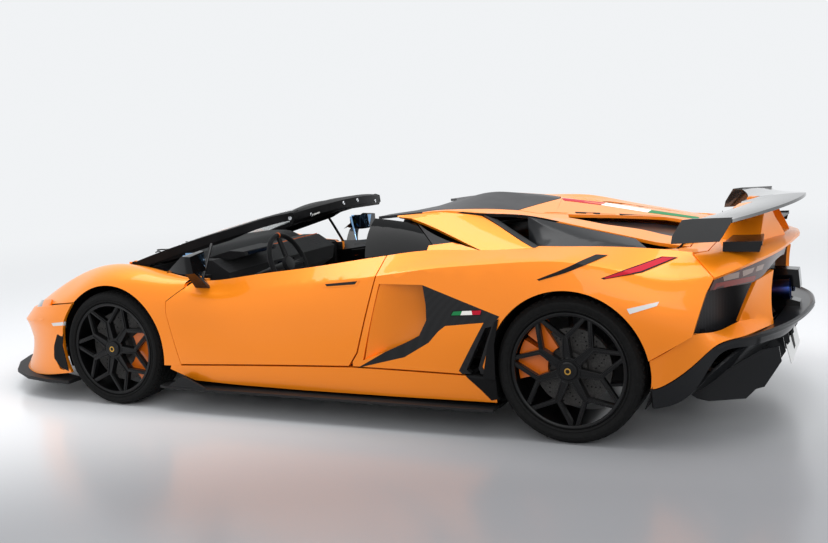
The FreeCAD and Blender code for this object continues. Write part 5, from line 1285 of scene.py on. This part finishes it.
    def dashboard(self, trim):
        tube_along("dash_piping", self.DASH_PIPING, trim.piping_radius, orange_thread(), "car",
                   "interior_leather")
        self.dash_pad()
        ahead = pushed_on(faces_of("dashboard"), (1, 0, 0))
        for name, (middle, half, high, low) in self.DISPLAYS.items():
            edges = [[at(0.60, y, z) for y in (middle - half, middle, middle + half)] for z in (high, low)]
            paired_patch(name, edges, ahead, display_glass(), 1.0, 1.0, "car", "interior_leather", (8, 2),
                         twin=False, sharp_degrees=35.0)
        shape = bmesh.new()
        for y in self.VENT_MIDDLES:
            for step in range(4):
                x = self.VENT_X + self.VENT_STEP_X * step
                z = self.VENT_Z + self.VENT_STEP_Z * step
                bar_between(shape, at(x, y - self.VENT_HALF, z), at(x, y + self.VENT_HALF, z), *self.SLAT)
        bmesh.ops.bevel(shape, geom=shape.edges[:], offset=0.0008, segments=1, profile=0.5, affect="EDGES",
                        material=-1)
        make_piece("dash_vent_slats", shape, moulded_black_abs(), "car", slot="interior_leather")

    def dash_pad(self):
        """The dashboard's top, which runs on below the glass to the screen's foot."""
        cast = pushed_on(faces_of("windscreen"), (0, 0, 1))
        shape = bmesh.new()
        bmesh.ops.create_grid(shape, x_segments=24, y_segments=30, size=1.0)
        for vert in shape.verts:
            ahead = self.PAD_LENGTH / 2 * (vert.co.x + 1)
            x = self.PAD_REAR_X + ahead
            y = vert.co.y * (self.PAD_HALF_WIDTH - self.PAD_NARROWING * max(0.0, vert.co.x))
            glass, _ = cast((x, y, 0.60))
            rise = self.PAD_RISE * math.sin(min(1.0, ahead / self.PAD_RISE_LENGTH) * math.pi / 2)
            vert.co = (x, y, min(glass.z - self.PAD_GAP, self.PAD_REAR_Z + rise))
        thickened(shape, 6.0)
        make_piece("dash_top_pad", shape, black_suede(), "car", 60.0, "interior_leather")

    def steering_wheel(self):
        """An orange mark at the top of the rim, and a pad over the hub."""
        top, across = self.WHEEL_TOP * self.MARK_RADIUS, Vector((0, self.MARK_RADIUS, 0))
        arc = [self.WHEEL_CENTRE + top * math.cos(turn) + across * math.sin(turn)
               for turn in (-self.MARK_HALF_TURN, 0.0, self.MARK_HALF_TURN)]
        tube_along("wheel_top_mark", arc, 17.0, orange_thread(), "car", "interior_leather", 16)
        turned_piece("wheel_hub_pad", [(self.HUB_PAD, self.WHEEL_CENTRE, -self.WHEEL_AXIS, 32)],
                     black_leather(), "car", 40.0, "interior_leather")


class CAR_OT_studio(bpy.types.Operator):
    """Builds the floor, the lights, the room's even light and the camera"""

    bl_idname = "car.studio"
    bl_label = "Studio"

    # Softboxes: name, place, aim, width, height, watts
    LAMPS = (
        ("overhead softbox", (0.0, 0.6, 4.8), (0.0, 0.0, 0.6), 7.0, 3.0, 230.0),
        ("left wall softbox", (-2.5, 7.0, 3.4), (0.0, 0.8, 0.6), 6.0, 2.6, 95.0),
        ("tail softbox", (-7.0, 1.0, 2.8), (-1.5, 0.0, 0.8), 3.5, 2.2, 25.0),
    )
    ROOM_COLOUR = "#F4F6F8"
    # The middle of the whole floor and of its greyer stretch of painted shade, and the distances between which
    # each one changes
    FLOOR_CHANGES = (((0.0, 0.0, 0.0), 3.6, 11.0), ((-2.8, 5.8, 0.0), 4.3, 6.6))

    def execute(self, context):
        settings = context.scene.car_studio
        self.floor(context, settings)
        self.room(context, settings)
        self.lights(context)
        self.camera(context)
        return {"FINISHED"}

    def floor(self, context, settings):
        mesh = bpy.data.meshes.new("studio floor")
        shape = bmesh.new()
        bmesh.ops.create_circle(shape, cap_ends=True, radius=settings.floor_radius, segments=96)
        shape.to_mesh(mesh)
        shape.free()
        ground = bpy.data.objects.new("studio floor", mesh)
        context.scene.collection.objects.link(ground)

        def fade(tree, shader):
            place = add_node(tree, "TexCoord")
            shares = []
            for middle, start, end in self.FLOOR_CHANGES:
                away = add_node(tree, "VectorMath", {1: middle}, {0: place.outputs["Object"]},
                                operation="DISTANCE")
                share = add_node(tree, "MapRange", {"From Min": start, "From Max": end},
                                 {"Value": away.outputs["Value"]}, interpolation_type="SMOOTHSTEP")
                shares.append(share.outputs["Result"])
            # The floor goes over into the white room's own light with distance, so that no edge shows
            glow = add_node(tree, "Emission",
                            {"Color": linear(self.ROOM_COLOUR), "Strength": settings.room_strength})
            blend = add_node(tree, "MixShader",
                             links={0: shares[0], 1: shader.outputs[0], 2: glow.outputs[0]})
            tree.links.new(blend.outputs[0], tree.nodes["Material Output"].inputs["Surface"])
            # The photograph's floor is greyer close to the camera, where no lamp reaches it
            tone = add_node(tree, "Mix", {6: linear("#8A8B8E"), 7: tuple(settings.floor_colour)},
                            {0: shares[1]}, data_type="RGBA")
            tree.links.new(tone.outputs[2], shader.inputs["Base Color"])
        paint = surface("painted studio floor", fade, base=tuple(settings.floor_colour), rough=0.22, gloss=0.45)
        mesh.materials.append(paint)

    def room(self, context, settings):
        world = bpy.data.worlds.new("white room")
        context.scene.world = world
        world.use_nodes = True
        back = world.node_tree.nodes["Background"]
        back.inputs["Color"].default_value = linear(self.ROOM_COLOUR)
        back.inputs["Strength"].default_value = settings.room_strength

    def lights(self, context):
        for name, place, aim, size_x, size_y, watts in self.LAMPS:
            lamp = bpy.data.lights.new(name, "AREA")
            lamp.shape = "RECTANGLE"
            lamp.size = size_x
            lamp.size_y = size_y
            lamp.energy = watts
            holder = bpy.data.objects.new(name, lamp)
            holder.location = place
            direction = Vector(aim) - Vector(place)
            holder.rotation_euler = direction.to_track_quat("-Z", "Y").to_euler()
            context.scene.collection.objects.link(holder)

    def camera(self, context):
        lens = bpy.data.cameras.new("photo camera")
        lens.sensor_width = SENSOR_MM
        lens.lens = CAMERA_LENS_MM
        lens.clip_end = 200.0
        camera = bpy.data.objects.new("photo camera", lens)
        back = CAMERA_RIGHT.cross(CAMERA_UP)
        turn = Matrix((CAMERA_RIGHT, CAMERA_UP, back)).transposed().to_4x4()
        camera.matrix_world = Matrix.Translation(CAMERA_PLACE) @ turn
        context.scene.collection.objects.link(camera)
        context.scene.camera = camera
        context.scene.view_settings.view_transform = "Standard"


class CAR_PT_looks(bpy.types.Panel):
    """Lists the car's operators"""

    bl_idname = "CAR_PT_looks"
    bl_label = "Car looks"
    bl_space_type = "VIEW_3D"
    bl_region_type = "UI"
    bl_category = "Car"

    def draw(self, context):
        for operator in OPERATORS:
            self.layout.operator(operator.bl_idname)
        for name, group in SETTINGS.items():
            for prop in group.__annotations__:
                self.layout.prop(getattr(context.scene, name), prop)


OPERATORS = (
    CAR_OT_cad_finishes, CAR_OT_smooth_panels, CAR_OT_wheels, CAR_OT_stripes, CAR_OT_lamps, CAR_OT_body_details,
    CAR_OT_seats, CAR_OT_cabin, CAR_OT_studio,
)
SETTINGS = {"car_studio": StudioSettings, "car_wheels": WheelSettings, "car_trim": TrimSettings}


def register():
    for group in SETTINGS.values():
        bpy.utils.register_class(group)
    for operator in OPERATORS:
        bpy.utils.register_class(operator)
    bpy.utils.register_class(CAR_PT_looks)
    for name, group in SETTINGS.items():
        setattr(bpy.types.Scene, name, PointerProperty(type=group))


def unregister():
    for name in SETTINGS:
        delattr(bpy.types.Scene, name)
    bpy.utils.unregister_class(CAR_PT_looks)
    for operator in reversed(OPERATORS):
        bpy.utils.unregister_class(operator)
    for group in reversed(list(SETTINGS.values())):
        bpy.utils.unregister_class(group)


def main():
    register()
    for operator in OPERATORS:
        family, name = operator.bl_idname.split(".")
        getattr(getattr(bpy.ops, family), name)()


if __name__ == "__main__":
    main()
